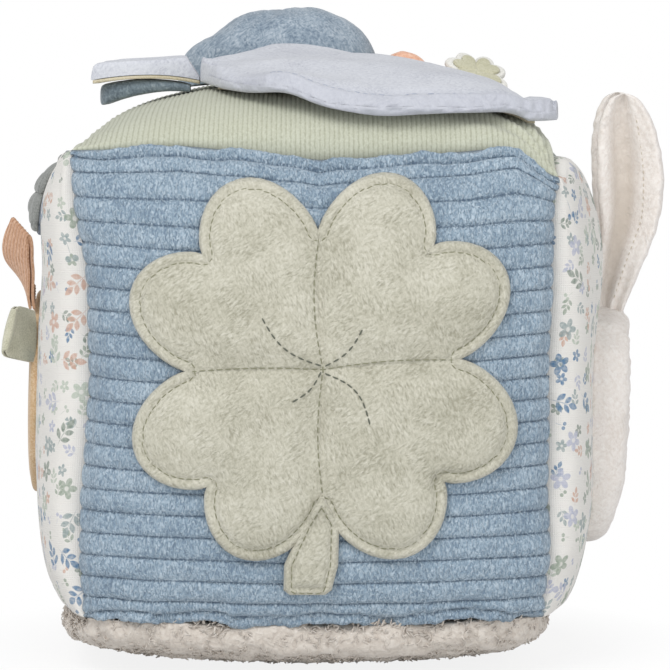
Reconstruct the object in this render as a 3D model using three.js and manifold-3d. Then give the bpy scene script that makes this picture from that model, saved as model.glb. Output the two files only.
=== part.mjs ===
// A soft activity cube: six sewn panels round a stuffing, with plush figures on four faces.
// Millimetres, +Z up. The corded front panel faces -Y and +X is its right-hand side.
// The origin is the centre of the flat patch of fleece that the cube stands on.

import * as THREE from 'three';
import { mergeVertices } from 'three/addons/utils/BufferGeometryUtils.js';
import Module from 'manifold-3d';

const wasm = await Module();
wasm.setup();

// The sewn cube
const cubeHalf = 72;          // half the distance between opposite corner seams
const seamHeight = 144;       // from the bottom corner seams up to the top ones
const floorToSeam = 19;       // the bottom corner seams stand this far off the floor
const seamDip = 3;            // a seam is drawn in this far at its middle
const footSpread = 2;         // the weight pushes the bottom seams out this far
const footDip = 1;            // and down this far
const sideCrown = 21.5;       // how far the stuffing swells a side panel
const topCrown = 28;          // and the top panel
const footSwell = 44;         // sideways swell of the bottom panel, before it tucks to its seam
const footCut = 0.5;          // depth of the bottom swell that the floor flattens
const clothWall = 1.8;        // cloth and pile of one panel
const seamGap = 0.3;          // between two panels along a seam
const layGap = 0.4;           // between a figure and the cloth that it lies on
const cordGap = 1.2;          // between the clover and the ridges of the cord
const feltGap = 1.1;          // between two layers of curved felt

// Cord of the front panel
const ribCount = 21;
const ribHeight = 1;

// Stuffing and rattle
const stuffingGap = 0.85;
const footEase = 0.5;         // the stuffing stands off the bottom panel this much more
const rattleRadius = 20;
const rattleWall = 1.6;
const beadRadius = 4;
const beadCount = 3;
const rattleGap = 0.3;

// Clover on the front panel
const cloverAcross = 2.4;     // centre, across the panel
const cloverUp = 98;          // centre, above the floor
const cloverDeep = 42.5;      // centre to the notch between two leaves
const cloverMid = 51;         // centre to the notch in the middle of a leaf
const cloverRise = 16.5;      // how far a lobe stands out past its notches
const cloverBack = 1;         // thickness of the backing layer
const cloverRim = 1.2;        // thickness of the face layer at its rim
const cloverPuff = 2.4;       // extra thickness in the middle of a lobe
const stemLength = 24;
const stemHalfWidth = 8.2;    // where it is widest
const stemHead = 5;           // half its width in the notch between the leaves
const stemLean = 3.4;         // how far its foot leans to the left

// Bird on the top panel
const birdBodyLength = 66;
const birdBodyWidth = 40;
const birdBodyHeight = 21.5;
const birdTaper = 0.2;        // the body is this much fuller towards the head
const birdBodyAcross = -12;   // centre of the body, across
const birdBodyBack = 15;      // centre of the body, behind the middle of the cube
const beakLength = 16;
const beakWidth = 13;
const beakHeight = 8;
const wingPuff = 5.2;
const wingRim = 1.4;
const wingLift = 4.5;         // the wing's root rides up the bird's flank this far
const liningWall = 0.9;
const wingRoot = -7.4;        // where the wing's root line runs, in front of the body
const waist = -36;            // the wing is gathered here, and the tail starts
const wingLength = 112;       // from the waist to the tip
const wingDepth = 58.6;       // from the root line to the front edge
const tailLength = 32.5;
const tailHalfWidth = 14;
const tailWall = 3.4;
const tailAcross = -20;       // where the tail leaves the waist
const tailRoot = 1.6;         // the blue lobe is sewn in this thin
const tailLobeLength = 27;
const tailLobeWall = 4.6;
const waistGap = 0.9;

// Clover tag in the beak
const tagRadius = 11.5;
const tagBorder = 1.6;        // white edge round the green face
const tagWall = 1.6;
const tagFace = 0.8;
const tagTilt = 38;           // degrees that its back edge is tipped up
const tagAcross = 53;
const tagHold = 2.2;          // from the notch of the tag to the end of its ribbon
const tagBack = 13;

// Rabbit on the right panel
const headHalfWidth = 36;
const headHalfHeight = 38;
const headUp = 73;
const headThickness = 14;
const headRim = 2;            // thickness of the head at its edge
const earTop = 183;           // tip of the ears, above the floor
const earThickness = 8;
const earCup = 5;             // depth of the lengthwise hollow in the ear
const earSpacing = 26;        // between the two ears
const earLiningInset = 0.24;  // share of the ear's half width left as plush rim
const earGap = 0.35;          // between an ear and the head under it

// Disc, ribbons and flower on the left panel
const discRadius = 33;
const discUp = 83;
const discBack = 5;
const discWall = 2.2;
const ribbonWall = 0.8;
const peachWidth = 18;
const peachLength = 25;
const sageWidth = 19;
const sageLength = 15;
const ribbonGap = 0.7;
const flowerRadius = 15.5;
const flowerUp = 145;
const flowerAcross = -16;
const flowerWall = 1.6;
const flowerFace = 0.9;

// Values that follow from the sizes above
const seamTop = floorToSeam + seamHeight;
const middle = floorToSeam + seamHeight / 2;
const cubeCentre = new THREE.Vector3(0, 0, middle);
const footCrown = floorToSeam - 2 * footDip + footCut;
const seamInset = 1 - seamGap / Math.SQRT2 / cubeHalf;
const vec = (x, y, z) => new THREE.Vector3(x, y, z);
const mix = (a, b, t) => a + (b - a) * t;
const clamp = (value, low, high) => Math.min(high, Math.max(low, value));
const radians = THREE.MathUtils.degToRad;

// Swell of a stuffed panel: none along the seams, and full over most of the middle
const swell = (u, v, power, fullness) =>
    ((1 - Math.abs(u) ** power) * (1 - Math.abs(v) ** power)) ** fullness;

// A side panel, seen from outside: u across and v up, both from -1 to 1
function sideSkin(u, v, inset = 1) {
    const a = u * inset;
    const b = v * inset;
    const acrossBow = 1 - a * a;
    const upBow = 1 - b * b;
    const low = (1 - b) / 2;
    const high = (1 + b) / 2;
    return {
        across: a * (cubeHalf - seamDip * upBow),
        out: cubeHalf + footSpread * acrossBow * low - seamDip * (acrossBow * high + upBow)
            + sideCrown * swell(u, v, 2, 0.3),
        up: middle + b * seamHeight / 2 - acrossBow * (seamDip * high + footDip * low),
    };
}

// The top panel: u to the right and v to the back
function topSkin(u, v, inset = 1) {
    const a = u * inset;
    const b = v * inset;
    return vec(
        a * (cubeHalf - seamDip * (1 - b * b)),
        b * (cubeHalf - seamDip * (1 - a * a)),
        seamTop - seamDip * (2 - a * a - b * b) + topCrown * swell(u, v, 2, 0.35),
    );
}

// The bottom panel swells sideways past its seams and is flat where it stands
function footSkin(u, v, inset = 1) {
    const a = u * inset;
    const b = v * inset;
    const bulge = footSwell * (1 - u ** 4) * (1 - v ** 4);
    const height = floorToSeam - footDip * (2 - a * a - b * b) - footCrown * swell(u, v, 4, 0.3);
    return vec(
        a * (cubeHalf + footSpread * (1 - b * b)) + u * bulge,
        b * (cubeHalf + footSpread * (1 - a * a)) + v * bulge,
        Math.max(0, height),
    );
}

// The four side panels are one panel turned a quarter turn at a time
const turns = {
    front: (p) => vec(p.across, -p.out, p.up),
    right: (p) => vec(p.out, p.across, p.up),
    back: (p) => vec(-p.across, p.out, p.up),
    left: (p) => vec(-p.out, -p.across, p.up),
};

// How far out a side panel reaches at a place on it
function sideReach(across, up) {
    let u = 0;
    let v = 0;
    for (let pass = 0; pass < 8; pass += 1) {
        const high = (1 + v) / 2;
        const dip = (1 - u * u) * (seamDip * high + footDip * (1 - high));
        u = clamp(across / (cubeHalf - seamDip * (1 - v * v)), -0.98, 0.98);
        v = clamp((up - middle + dip) / (seamHeight / 2), -0.98, 0.98);
    }
    return sideSkin(u, v).out;
}

// How high the top panel is at a place on it
function topHeight(x, y) {
    let u = 0;
    let v = 0;
    for (let pass = 0; pass < 8; pass += 1) {
        u = clamp(x / (cubeHalf - seamDip * (1 - v * v)), -0.93, 0.93);
        v = clamp(y / (cubeHalf - seamDip * (1 - u * u)), -0.93, 0.93);
    }
    return topSkin(u, v).z;
}

const onFront = (x, z, out) => vec(x, -(sideReach(x, z) + out), z);
const onRight = (y, z, out) => vec(sideReach(y, z) + out, y, z);
const onLeft = (y, z, out) => vec(-(sideReach(y, z) + out), y, z);
const onTop = (x, y, height) => vec(x, y, topHeight(x, y) + height);

// A closed body from points and triangles, turned so that its faces point out
function closedBody(points, triangles) {
    let volume = 0;
    for (const [a, b, c] of triangles) {
        volume += points[a].dot(points[b].clone().cross(points[c]));
    }
    const faces = volume < 0 ? triangles.map(([a, b, c]) => [a, c, b]) : triangles;
    const geometry = new THREE.BufferGeometry();
    geometry.setAttribute('position', new THREE.Float32BufferAttribute(
        points.flatMap((p) => [p.x, p.y, p.z]), 3));
    geometry.setIndex(faces.flat());
    geometry.computeVertexNormals();
    return geometry;
}

// A sheet with thickness: two grids of points, joined round their border
function slab(across, along, outer, inner) {
    const points = [];
    const triangles = [];
    const wide = across.length;
    const layer = wide * along.length;
    for (const side of [outer, inner]) {
        for (const v of along) {
            for (const u of across) points.push(side(u, v));
        }
    }
    const quad = (a, b, c, d) => triangles.push([a, b, c], [a, c, d]);
    for (let j = 0; j + 1 < along.length; j += 1) {
        for (let i = 0; i + 1 < wide; i += 1) {
            const a = j * wide + i;
            quad(a, a + 1, a + wide + 1, a + wide);
            quad(layer + a, layer + a + wide, layer + a + wide + 1, layer + a + 1);
        }
    }
    const wall = (a, b) => quad(a, a + layer, b + layer, b);
    for (let i = 0; i + 1 < wide; i += 1) {
        wall(i, i + 1);
        wall(layer - wide + i + 1, layer - wide + i);
    }
    for (let j = 0; j + 1 < along.length; j += 1) {
        wall((j + 1) * wide, j * wide);
        wall(j * wide + wide - 1, (j + 1) * wide + wide - 1);
    }
    return closedBody(points, triangles);
}

// A round sheet with thickness: rings of points over and under, joined at the rim.
// The surfaces take a turn in radians and a share of the way out to the rim.
function disc(steps, upperRings, lowerRings, upper, lower) {
    const points = [];
    const triangles = [];
    const rims = [];
    for (const [surface, rings, flip] of [[upper, upperRings, false], [lower, lowerRings, true]]) {
        const hub = points.length;
        const face = (a, b, c) => triangles.push(flip ? [a, c, b] : [a, b, c]);
        points.push(surface(0, 0));
        for (let k = 1; k <= rings; k += 1) {
            for (let i = 0; i < steps; i += 1) {
                points.push(surface(i * 2 * Math.PI / steps, k / rings));
            }
        }
        for (let i = 0; i < steps; i += 1) {
            const next = (i + 1) % steps;
            face(hub, hub + 1 + i, hub + 1 + next);
            for (let k = 1; k < rings; k += 1) {
                const ring = hub + 1 + (k - 1) * steps;
                face(ring + i, ring + steps + i, ring + steps + next);
                face(ring + i, ring + steps + next, ring + next);
            }
        }
        rims.push(hub + 1 + (rings - 1) * steps);
    }
    for (let i = 0; i < steps; i += 1) {
        const next = (i + 1) % steps;
        triangles.push([rims[0] + i, rims[1] + i, rims[1] + next]);
        triangles.push([rims[0] + i, rims[1] + next, rims[0] + next]);
    }
    return closedBody(points, triangles);
}

// A ribbon along a curve, with its width along a steady direction
function ribbon(points, steps, widthAxis, width, wall) {
    const curve = new THREE.CatmullRomCurve3(points);
    const across = widthAxis.clone().normalize();
    const side = (offset) => (u, t) => {
        const face = curve.getTangentAt(t).cross(across).normalize();
        return curve.getPointAt(t).addScaledVector(across, u * width / 2)
            .addScaledVector(face, offset);
    };
    return slab([-1, 1], evenSteps(0, 1, steps), side(wall / 2), side(-wall / 2));
}

const evenSteps = (low, high, steps) =>
    Array.from({ length: steps + 1 }, (_, i) => mix(low, high, i / steps));

// Steps from -1 to 1 that close up towards both ends, where a stuffed form turns fastest
const easedSteps = (steps) => evenSteps(-1, 1, steps).map((t) => Math.sin(t * Math.PI / 2));

// Solids for cutting and joining
function solidOf(geometry) {
    const bare = geometry.clone();
    bare.deleteAttribute('normal');
    bare.deleteAttribute('uv');
    const merged = mergeVertices(bare, 1e-4);
    return new wasm.Manifold(new wasm.Mesh({
        numProp: 3,
        vertProperties: new Float32Array(merged.attributes.position.array),
        triVerts: new Uint32Array(merged.index.array),
    }));
}

function geometryOf(solid) {
    const mesh = solid.getMesh();
    const geometry = new THREE.BufferGeometry();
    geometry.setAttribute('position', new THREE.BufferAttribute(mesh.vertProperties, 3));
    geometry.setIndex(new THREE.BufferAttribute(mesh.triVerts, 1));
    geometry.computeVertexNormals();
    return geometry;
}

const cube = new THREE.Group();

const cloth = (color, roughness = 0.95) =>
    new THREE.MeshStandardMaterial({ color, roughness, metalness: 0 });
const dustyBlueCord = cloth('#8fa3b5');
const sageCord = cloth('#b9bba7');
const printedCotton = cloth('#e6e3db');
const creamFleece = cloth('#d9d0c6');
const sageVelour = cloth('#c2c0b2');
const lilacVelour = cloth('#d0d2d9');
const blueVelour = cloth('#9fb0bd');
const beigeCotton = cloth('#c9bfa6');
const peachVelour = cloth('#e3b28f');
const whiteFelt = cloth('#e4e2da');
const greenFelt = cloth('#bfc09f');
const greyFelt = cloth('#a2a39d');
const peachRibbon = cloth('#cfa384');
const sageVelvet = cloth('#a8a68f');
const tanFelt = cloth('#d3ae82');
const polyesterFibre = cloth('#f2f0ea');
const clearPlastic = cloth('#dfe6e8', 0.3);
const beadPlastic = cloth('#c98d6a', 0.4);

function add(name, geometry, material) {
    const mesh = new THREE.Mesh(geometry, material);
    mesh.name = name;
    cube.add(mesh);
    return mesh;
}

// Towards the middle of the cube by a depth of cloth, so that walls never cross at a seam
const inward = (point, depth) =>
    point.clone().sub(cubeCentre).multiplyScalar(1 - depth / cubeHalf).add(cubeCentre);

const panelGrid = easedSteps(10);

function addPanel(name, skin, material) {
    add(name, slab(panelGrid, panelGrid,
        (u, v) => skin(u, v, seamInset),
        (u, v) => inward(skin(u, v, seamInset), clothWall)), material);
}

// The front panel carries the ribs of its cord: each row of its grid is a groove or a ridge
function addFrontPanel() {
    const rows = evenSteps(-1, 1, 2 * ribCount);
    const ridge = (v) => {
        const row = Math.round((v + 1) * ribCount);
        return row % 2 === 1 ? ribHeight : 0;
    };
    const outer = (u, v) => {
        const place = sideSkin(u, v, seamInset);
        place.out += ridge(v);
        return turns.front(place);
    };
    const inner = (u, v) => inward(turns.front(sideSkin(u, v, seamInset)), clothWall);
    add('front_panel', slab(panelGrid, rows, outer, inner), dustyBlueCord);
}

addFrontPanel();
addPanel('back_panel', (u, v, inset) => turns.back(sideSkin(u, v, inset)), dustyBlueCord);
addPanel('left_panel', (u, v, inset) => turns.left(sideSkin(u, v, inset)), printedCotton);
addPanel('right_panel', (u, v, inset) => turns.right(sideSkin(u, v, inset)), printedCotton);
addPanel('top_panel', topSkin, sageCord);
addPanel('bottom_panel', footSkin, creamFleece);

// The stuffing fills the panels and is packed in two layers round the rattle
function stuffingForm() {
    const points = [];
    const triangles = [];
    const skins = [
        ...Object.values(turns).map((turn) => [(u, v) => turn(sideSkin(u, v)), false]),
        [topSkin, false],
        [footSkin, true],
    ];
    const wide = panelGrid.length;
    for (const [skin, fromInside] of skins) {
        const start = points.length;
        for (const v of panelGrid) {
            for (const u of panelGrid) {
                const ease = fromInside ? footEase * swell(u, v, 4, 0.3) : 0;
                points.push(inward(skin(u, v, 1), clothWall + stuffingGap + ease));
            }
        }
        for (let j = 0; j + 1 < wide; j += 1) {
            for (let i = 0; i + 1 < wide; i += 1) {
                const a = start + j * wide + i;
                const [b, c] = fromInside ? [a + wide, a + 1] : [a + 1, a + wide];
                triangles.push([a, b, a + wide + 1], [a, a + wide + 1, c]);
            }
        }
    }
    return solidOf(closedBody(points, triangles));
}

function addStuffing() {
    const form = stuffingForm();
    const pocket = new THREE.SphereGeometry(rattleRadius + 2 * rattleGap, 16, 10);
    pocket.translate(0, 0, middle);
    const reach = 4 * cubeHalf;
    for (const [name, side] of [['lower_stuffing', -1], ['upper_stuffing', 1]]) {
        const half = new THREE.BoxGeometry(reach, reach, reach);
        half.translate(0, 0, middle + side * (reach + rattleGap) / 2);
        const layer = form.intersect(solidOf(half)).subtract(solidOf(pocket));
        add(name, geometryOf(layer), polyesterFibre);
    }
}

// The rattle is a ball of two moulded shells with loose beads in it
function addRattle() {
    const arcPoints = (radius) => evenSteps(0, 1, 5).map((t) => {
        const turn = t * Math.acos(rattleGap / 2 / radius);
        return new THREE.Vector2(radius * Math.sin(turn), -radius * Math.cos(turn));
    });
    const profile = [...arcPoints(rattleRadius), ...arcPoints(rattleRadius - rattleWall).reverse()];
    for (const [name, flip] of [['rattle_lower_shell', 1], ['rattle_upper_shell', -1]]) {
        const shell = add(name, new THREE.LatheGeometry(profile, 16), clearPlastic);
        shell.rotation.x = flip * Math.PI / 2;
        shell.position.z = middle;
    }
    const track = rattleRadius - rattleWall - rattleGap - beadRadius;
    const ring = (beadRadius + rattleGap) / Math.sin(Math.PI / beadCount);
    for (let i = 0; i < beadCount; i += 1) {
        const turn = i * 2 * Math.PI / beadCount;
        const bead = add(`rattle_bead_${i + 1}`, new THREE.SphereGeometry(beadRadius, 10, 6), beadPlastic);
        bead.position.set(ring * Math.cos(turn), ring * Math.sin(turn),
            middle - Math.sqrt(track * track - ring * ring));
    }
}

addStuffing();
addRattle();

// Outline of a four-leaf clover: deep notches between the leaves and a shallow one in each.
// An even turn is spread over the leaves, so that every notch falls on a step of it.
const leafStarts = [4, 92, 181, 270, 364].map(radians);

function cloverEdge(turn, deep = cloverDeep, shallow = cloverMid, rise = cloverRise) {
    const leaves = 2 * turn / Math.PI;
    const leaf = Math.min(3, Math.floor(leaves + 1e-9));
    const share = clamp(leaves - leaf, 0, 1);
    const lobe = 2 * Math.min(share, 1 - share);
    return {
        angle: mix(leafStarts[leaf], leafStarts[leaf + 1], share),
        reach: mix(deep, shallow, lobe) + rise * Math.abs(Math.sin(Math.PI * lobe)) ** 0.83,
        line: lobe,
    };
}

const cloverLay = ribHeight + cordGap;                       // underside of the backing, off the cord
const cloverFaceLay = cloverLay + cloverBack + seamGap;  // underside of the face layer

// The face layer is quilted along the cross between its leaves and puffed in each lobe
function cloverThickness(edge, share) {
    const quilt = clamp(edge.line * share * 2.5, 0, 1) ** 0.5;
    return cloverRim + cloverPuff * quilt * (1 - share ** 4) ** 0.5;
}

function addClover() {
    const layer = (out, thickness) => (turn, share) => {
        const edge = cloverEdge(turn);
        return onFront(
            cloverAcross + share * edge.reach * Math.cos(edge.angle),
            cloverUp + share * edge.reach * Math.sin(edge.angle), out + thickness(edge, share));
    };
    const none = () => 0;
    const steps = 72;
    add('clover_backing', disc(steps, 4, 4,
        layer(cloverLay, () => cloverBack), layer(cloverLay, none)), sageVelour);
    add('clover_face', disc(steps, 5, 4,
        layer(cloverFaceLay, cloverThickness), layer(cloverFaceLay, none)), sageVelour);
    // The stem's head fills the lowest notch, and its foot leans to the left
    const stemFoot = cloverDeep + stemLength;
    const notch = (turn) => cloverEdge(turn < leafStarts[3]
        ? 1.5 * Math.PI - (leafStarts[3] - turn) : 1.5 * Math.PI + (turn - leafStarts[3])).reach;
    const stemPoint = (solid) => (u, v) => {
        const halfWidth = mix(stemHead, stemHalfWidth, Math.sin(0.8 * Math.PI * v));
        const turn = leafStarts[3] + u * halfWidth / mix(cloverDeep, stemFoot, v);
        const reach = mix(notch(turn) + layGap, stemFoot - 1.5 * u * u, v);
        const x = reach * Math.cos(turn) - stemLean * v;
        const puff = solid ? cloverRim + 1.4 * (1 - u * u) : 0;
        return onFront(cloverAcross + x, cloverUp + reach * Math.sin(turn), cloverLay + puff);
    };
    add('clover_stem', slab(easedSteps(6), evenSteps(0, 1, 4), stemPoint(true), stemPoint(false)),
        sageVelour);
}

addClover();

// The bird lies along the top panel, with its head to the right and its wing to the front
const birdPoint = (x, y, height) => onTop(x, y, layGap + height);

function addBirdBody() {
    const ellipse = (cx, cy, length, width, height, rim) => (turn, share) => birdPoint(
        cx + share * length / 2 * Math.cos(turn),
        cy + share * width / 2 * Math.sin(turn) * (1 + birdTaper * Math.cos(turn)),
        height ? rim + (height - rim) * (1 - share * share) ** 0.42 : 0);
    const body = [birdBodyAcross, birdBodyBack, birdBodyLength, birdBodyWidth];
    add('bird_body', disc(24, 6, 3,
        ellipse(...body, birdBodyHeight, 1.5), ellipse(...body, 0)), blueVelour);
    const beakCentre = birdBodyAcross + (birdBodyLength + beakLength) / 2 + layGap;
    const beak = [beakCentre, birdBodyBack, beakLength, beakWidth];
    add('bird_beak', disc(16, 4, 2,
        ellipse(...beak, beakHeight, 1.2), ellipse(...beak, 0)), peachVelour);
    return beakCentre + beakLength / 2;
}

// The wing is a padded leaf: narrow at the waist, broad over the front edge, narrow at its tip
// Its two edges are drawn in shares of its length and of its depth
const wingEdge = (shares) => new THREE.SplineCurve(shares.map(([along, depth]) =>
    new THREE.Vector2(waist + along * wingLength, wingRoot - depth * wingDepth)));
const wingFront = wingEdge([
    [0, 0.3], [0.08, 0.676], [0.25, 0.915], [0.518, 1], [0.75, 0.983], [0.911, 0.932], [0.991, 0.863],
]);
const wingBack = wingEdge([
    [0, 0.13], [0.08, 0.017], [0.25, 0], [0.518, 0.017], [0.75, 0.147], [0.911, 0.471], [1, 0.761],
]);

function wingPoint(t, w, height) {
    const place = wingFront.getPoint(t).lerp(wingBack.getPoint(t), (w + 1) / 2);
    const besideBody = clamp(1 - (place.x - birdBodyAcross) ** 2 / birdBodyLength ** 2 * 2.6, 0, 1);
    const nearRoot = ((w + 1) / 2) ** 4;
    return birdPoint(place.x, place.y, wingLift * besideBody * nearRoot + height);
}

function addWing() {
    const along = evenSteps(0, 1, 15);
    const across = easedSteps(6);
    const under = liningWall + seamGap;
    const puff = (t, w) => {
        const taper = Math.sin(Math.PI * clamp(mix(0.16, 0.94, t), 0, 1)) ** 0.5;
        return wingRim + wingPuff * taper * (1 - w ** 4) ** 0.5;
    };
    add('wing_lining', slab(across, along,
        (w, t) => wingPoint(t, 0.97 * w, liningWall), (w, t) => wingPoint(t, 0.97 * w, 0)), beigeCotton);
    add('bird_wing', slab(across, along,
        (w, t) => wingPoint(t, w, under + puff(t, w)), (w, t) => wingPoint(t, w, under)), lilacVelour);
}

// Two tail feathers stand out level from the waist, over the falling edge of the top panel
function addTail() {
    const root = waist - waistGap;
    const rootZ = topHeight(root, tailAcross) + layGap + tailRoot + seamGap;
    const feather = (start, length, halfWidth, base, droop, height) => (w, t) => {
        const spread = mix(5, halfWidth, t ** 0.8);
        return vec(start - length * t - 2 * t * w * w, tailAcross + 8 * t + spread * w,
            base - droop * t * t + height(w, t));
    };
    const across = easedSteps(4);
    const along = evenSteps(0, 1, 6);
    const flat = () => 0;
    const wall = (full) => (w, t) => mix(1, full, Math.min(1, 5 * t) ** 0.5) * (1 - 0.5 * w ** 4);
    const top = (height) => feather(root, tailLength, tailHalfWidth, rootZ, -0.6, height);
    add('tail_lining', slab(across, along, top(() => liningWall), top(flat)), beigeCotton);
    const over = liningWall + seamGap;
    add('tail_feather', slab(across, along,
        top((w, t) => over + wall(tailWall)(w, t)), top(() => over)), lilacVelour);
    const lobe = (height) => feather(root - 3, tailLobeLength, tailHalfWidth - 3, rootZ - seamGap, 3, height);
    const lobeWall = (w, t) => mix(tailRoot, tailLobeWall, t) * (1 - 0.4 * w ** 4) * (1 - 0.5 * t ** 6);
    add('tail_lobe', slab(across, along,
        lobe(flat), lobe((w, t) => -lobeWall(w, t))), blueVelour);
}

// A clover-shaped felt tag hangs from the beak on a short ribbon and leans on the top panel
function addTag(beakTip) {
    const plate = (inset, low, high) => {
        const at = (z) => (turn, share) => {
            const edge = cloverEdge(turn, tagRadius * 0.66, tagRadius * 0.8, tagRadius * 0.24);
            const reach = share * (edge.reach - inset);
            return vec(reach * Math.cos(edge.angle), reach * Math.sin(edge.angle), z);
        };
        return disc(48, 1, 1, at(high), at(low));
    };
    const tag = new THREE.Group();
    const tilt = radians(tagTilt);
    const lift = tagRadius * Math.sin(tilt) + layGap + 1.5;
    tag.position.copy(onTop(tagAcross, tagBack, lift));
    tag.rotation.set(tilt, radians(14), 0);
    const back = new THREE.Mesh(plate(0, 0, tagWall), whiteFelt);
    back.name = 'tag_back';
    const face = new THREE.Mesh(plate(tagBorder, tagWall + seamGap, tagWall + seamGap + tagFace), greenFelt);
    face.name = 'tag_face';
    tag.add(back, face);
    cube.add(tag);
    tag.updateMatrixWorld(true);
    const hold = tag.localToWorld(vec(-tagRadius * 0.66 - 2 * layGap - tagHold, 0, tagWall / 2));
    const start = onTop(beakTip + layGap, birdBodyBack, layGap + 2.6);
    const half = start.clone().lerp(hold, 0.5).add(vec(0, 0, 0.6));
    add('tag_ribbon', ribbon([start, half, hold], 4, vec(0, 1, 0), 4, 1), peachRibbon);
}

const beakTip = addBirdBody();
addWing();
addTail();
addTag(beakTip);

// The rabbit's head is a padded round on the right panel, and its ears stand over it
const headPad = (share) => headRim + (headThickness - headRim) * (1 - share ** 6) ** 0.5;

function addHead() {
    const at = (height) => (turn, share) => onRight(
        share * headHalfWidth * Math.cos(turn), headUp + share * headHalfHeight * Math.sin(turn),
        layGap + height(share));
    add('rabbit_head', disc(32, 6, 3, at(headPad), at(() => 0)), creamFleece);
}

const earInner = new THREE.SplineCurve([
    [0.6, 0], [-0.6, 0.18], [-1.2, 0.4], [-1, 0.62], [1.4, 0.84], [5.6, 0.965], [8.6, 1],
].map(([x, share]) => new THREE.Vector2(x, share)));
const earOuter = new THREE.SplineCurve([
    [9.6, 0], [14, 0.18], [19.4, 0.4], [21.2, 0.62], [18.4, 0.84], [14.4, 0.965], [10.6, 1],
].map(([x, share]) => new THREE.Vector2(x, share)));

// How high the head's upper slope is where it reaches a given place in X and Y
function headSlope(x, y) {
    const crown = sideReach(0, headUp) + layGap + 0.9 * headThickness;
    let low = headUp;
    let high = headUp + headHalfHeight * Math.sqrt(Math.max(0, 1 - (y / headHalfWidth) ** 2));
    for (let pass = 0; pass < 24; pass += 1) {
        const z = (low + high) / 2;
        const share = Math.min(1, Math.hypot(y / headHalfWidth, (z - headUp) / headHalfHeight));
        const reach = sideReach(y, z) + layGap + headPad(share);
        if (reach > Math.min(x, crown)) low = z;
        else high = z;
    }
    return high;
}

function addEars() {
    const rootX = sideReach(0, headUp + headHalfHeight) + headRim + earGap;
    const rows = evenSteps(0, 1, 9);
    const columns = easedSteps(6);
    for (const [name, side] of [['front', -1], ['back', 1]]) {
        const place = (w, t) => earInner.getPoint(t).lerp(earOuter.getPoint(t), (w + 1) / 2);
        const centre = side * earSpacing / 2;
        const cup = (w, t) => earCup * (1 - w * w) * Math.sin(Math.PI * clamp(0.12 + t * 0.8, 0, 1));
        const half = (w, t) => 0.6 + (earThickness / 2 - 0.6) * Math.sqrt(1 - w ** 4)
            * Math.sin(Math.PI * clamp(0.25 + t * 0.72, 0, 1)) ** 0.5;
        const root = (w, face) => earGap + headSlope(
            rootX + place(w, 0).x, centre + cup(w, 0) + face * half(w, 0));
        const point = (w, t, face, offset = 0) => {
            const p = place(w, t);
            return vec(rootX + p.x, centre + cup(w, t) + face * (half(w, t) + offset),
                mix(root(w, face), earTop, p.y));
        };
        add(`${name}_ear`, slab(columns, rows,
            (w, t) => point(w, t, 1), (w, t) => point(w, t, -1)), creamFleece);
        const inset = 1 - earLiningInset;
        const inner = (offset) => (w, t) => point(inset * w, mix(0.1, 0.9, t), -1, offset);
        add(`${name}_ear_lining`, slab(columns, rows, inner(0.9), inner(seamGap)), creamFleece);
    }
}

addHead();
addEars();

// A tan disc on the left panel, with two folded ribbons sewn in under its rim
function addDisc() {
    const at = (height) => (turn, share) => onLeft(
        discBack + share * discRadius * Math.cos(turn),
        discUp + share * discRadius * Math.sin(turn), layGap + height(share));
    add('side_disc', disc(32, 4, 3,
        at((share) => 1 + (discWall - 1) * (1 - share ** 8) ** 0.5), at(() => 0)), tanFelt);
}

// A folded ribbon leaves the disc's rim, rises off the panel, turns over and comes back.
// Its bearing is the turn round the disc, and its bends are pairs of (share of length, rise).
function addFoldedRibbon(name, bearing, length, width, bends, twist, material) {
    const direction = radians(bearing);
    const along = (distance, out) => onLeft(
        discBack + (discRadius + distance) * Math.cos(direction),
        discUp + (discRadius + distance) * Math.sin(direction), layGap + out);
    const start = ribbonGap + ribbonWall / 2;
    const ply = ribbonGap / 2 + ribbonWall / 2;
    const low = [];
    const high = [];
    for (const [share, rise] of bends) {
        const open = ply * (1 + 1.2 * Math.sin(Math.PI * share));
        low.push(along(start + share * length, rise + ply - open + ribbonWall));
        high.push(along(start + share * length, rise + ply + open + ribbonWall));
    }
    const [endShare, endRise] = bends[bends.length - 1];
    const fold = along(start + endShare * length + 1.8, endRise + ply + ribbonWall);
    const sideways = vec(twist, -Math.sin(direction), Math.cos(direction));
    add(name, ribbon([...low, fold, ...high.reverse()], 18, sideways, width, ribbonWall), material);
}

// The flower is a scalloped felt shape that leans on the panel above the disc
function addFlower() {
    const petals = 6;
    const edge = (turn, inset) => (flowerRadius - inset)
        * (0.82 + 0.18 * Math.abs(Math.sin(petals / 2 * turn)) ** 0.6);
    const at = (inset, height) => (turn, share) => {
        const reach = share * edge(turn, inset);
        return onLeft(flowerAcross + reach * Math.cos(turn), flowerUp + reach * Math.sin(turn),
            feltGap + height);
    };
    add('flower_back', disc(36, 2, 2, at(0, flowerWall), at(0, 0)), whiteFelt);
    const face = flowerWall + feltGap;
    add('flower_petals', disc(36, 2, 2, at(1.8, face + flowerFace), at(1.8, face)), greyFelt);
}

addDisc();
addFoldedRibbon('peach_ribbon', 115, peachLength, peachWidth,
    [[0, 1.3], [0.3, 5.2], [0.6, 7.4], [0.9, 6.6]], 0.22, peachRibbon);
addFoldedRibbon('sage_ribbon', 156, sageLength, sageWidth,
    [[0, 0.1], [0.4, 4.2], [0.85, 8.4]], 0, sageVelvet);
addFlower();

export default cube;
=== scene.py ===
# %% [markdown]
# A soft activity cube is six sewn panels round a ball of stuffing, with plush figures sewn on
# four of its faces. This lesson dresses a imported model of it: the frame gives the place of
# every piece, and each cell below makes the cloth that is really seen there.

import itertools
import math

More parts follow.
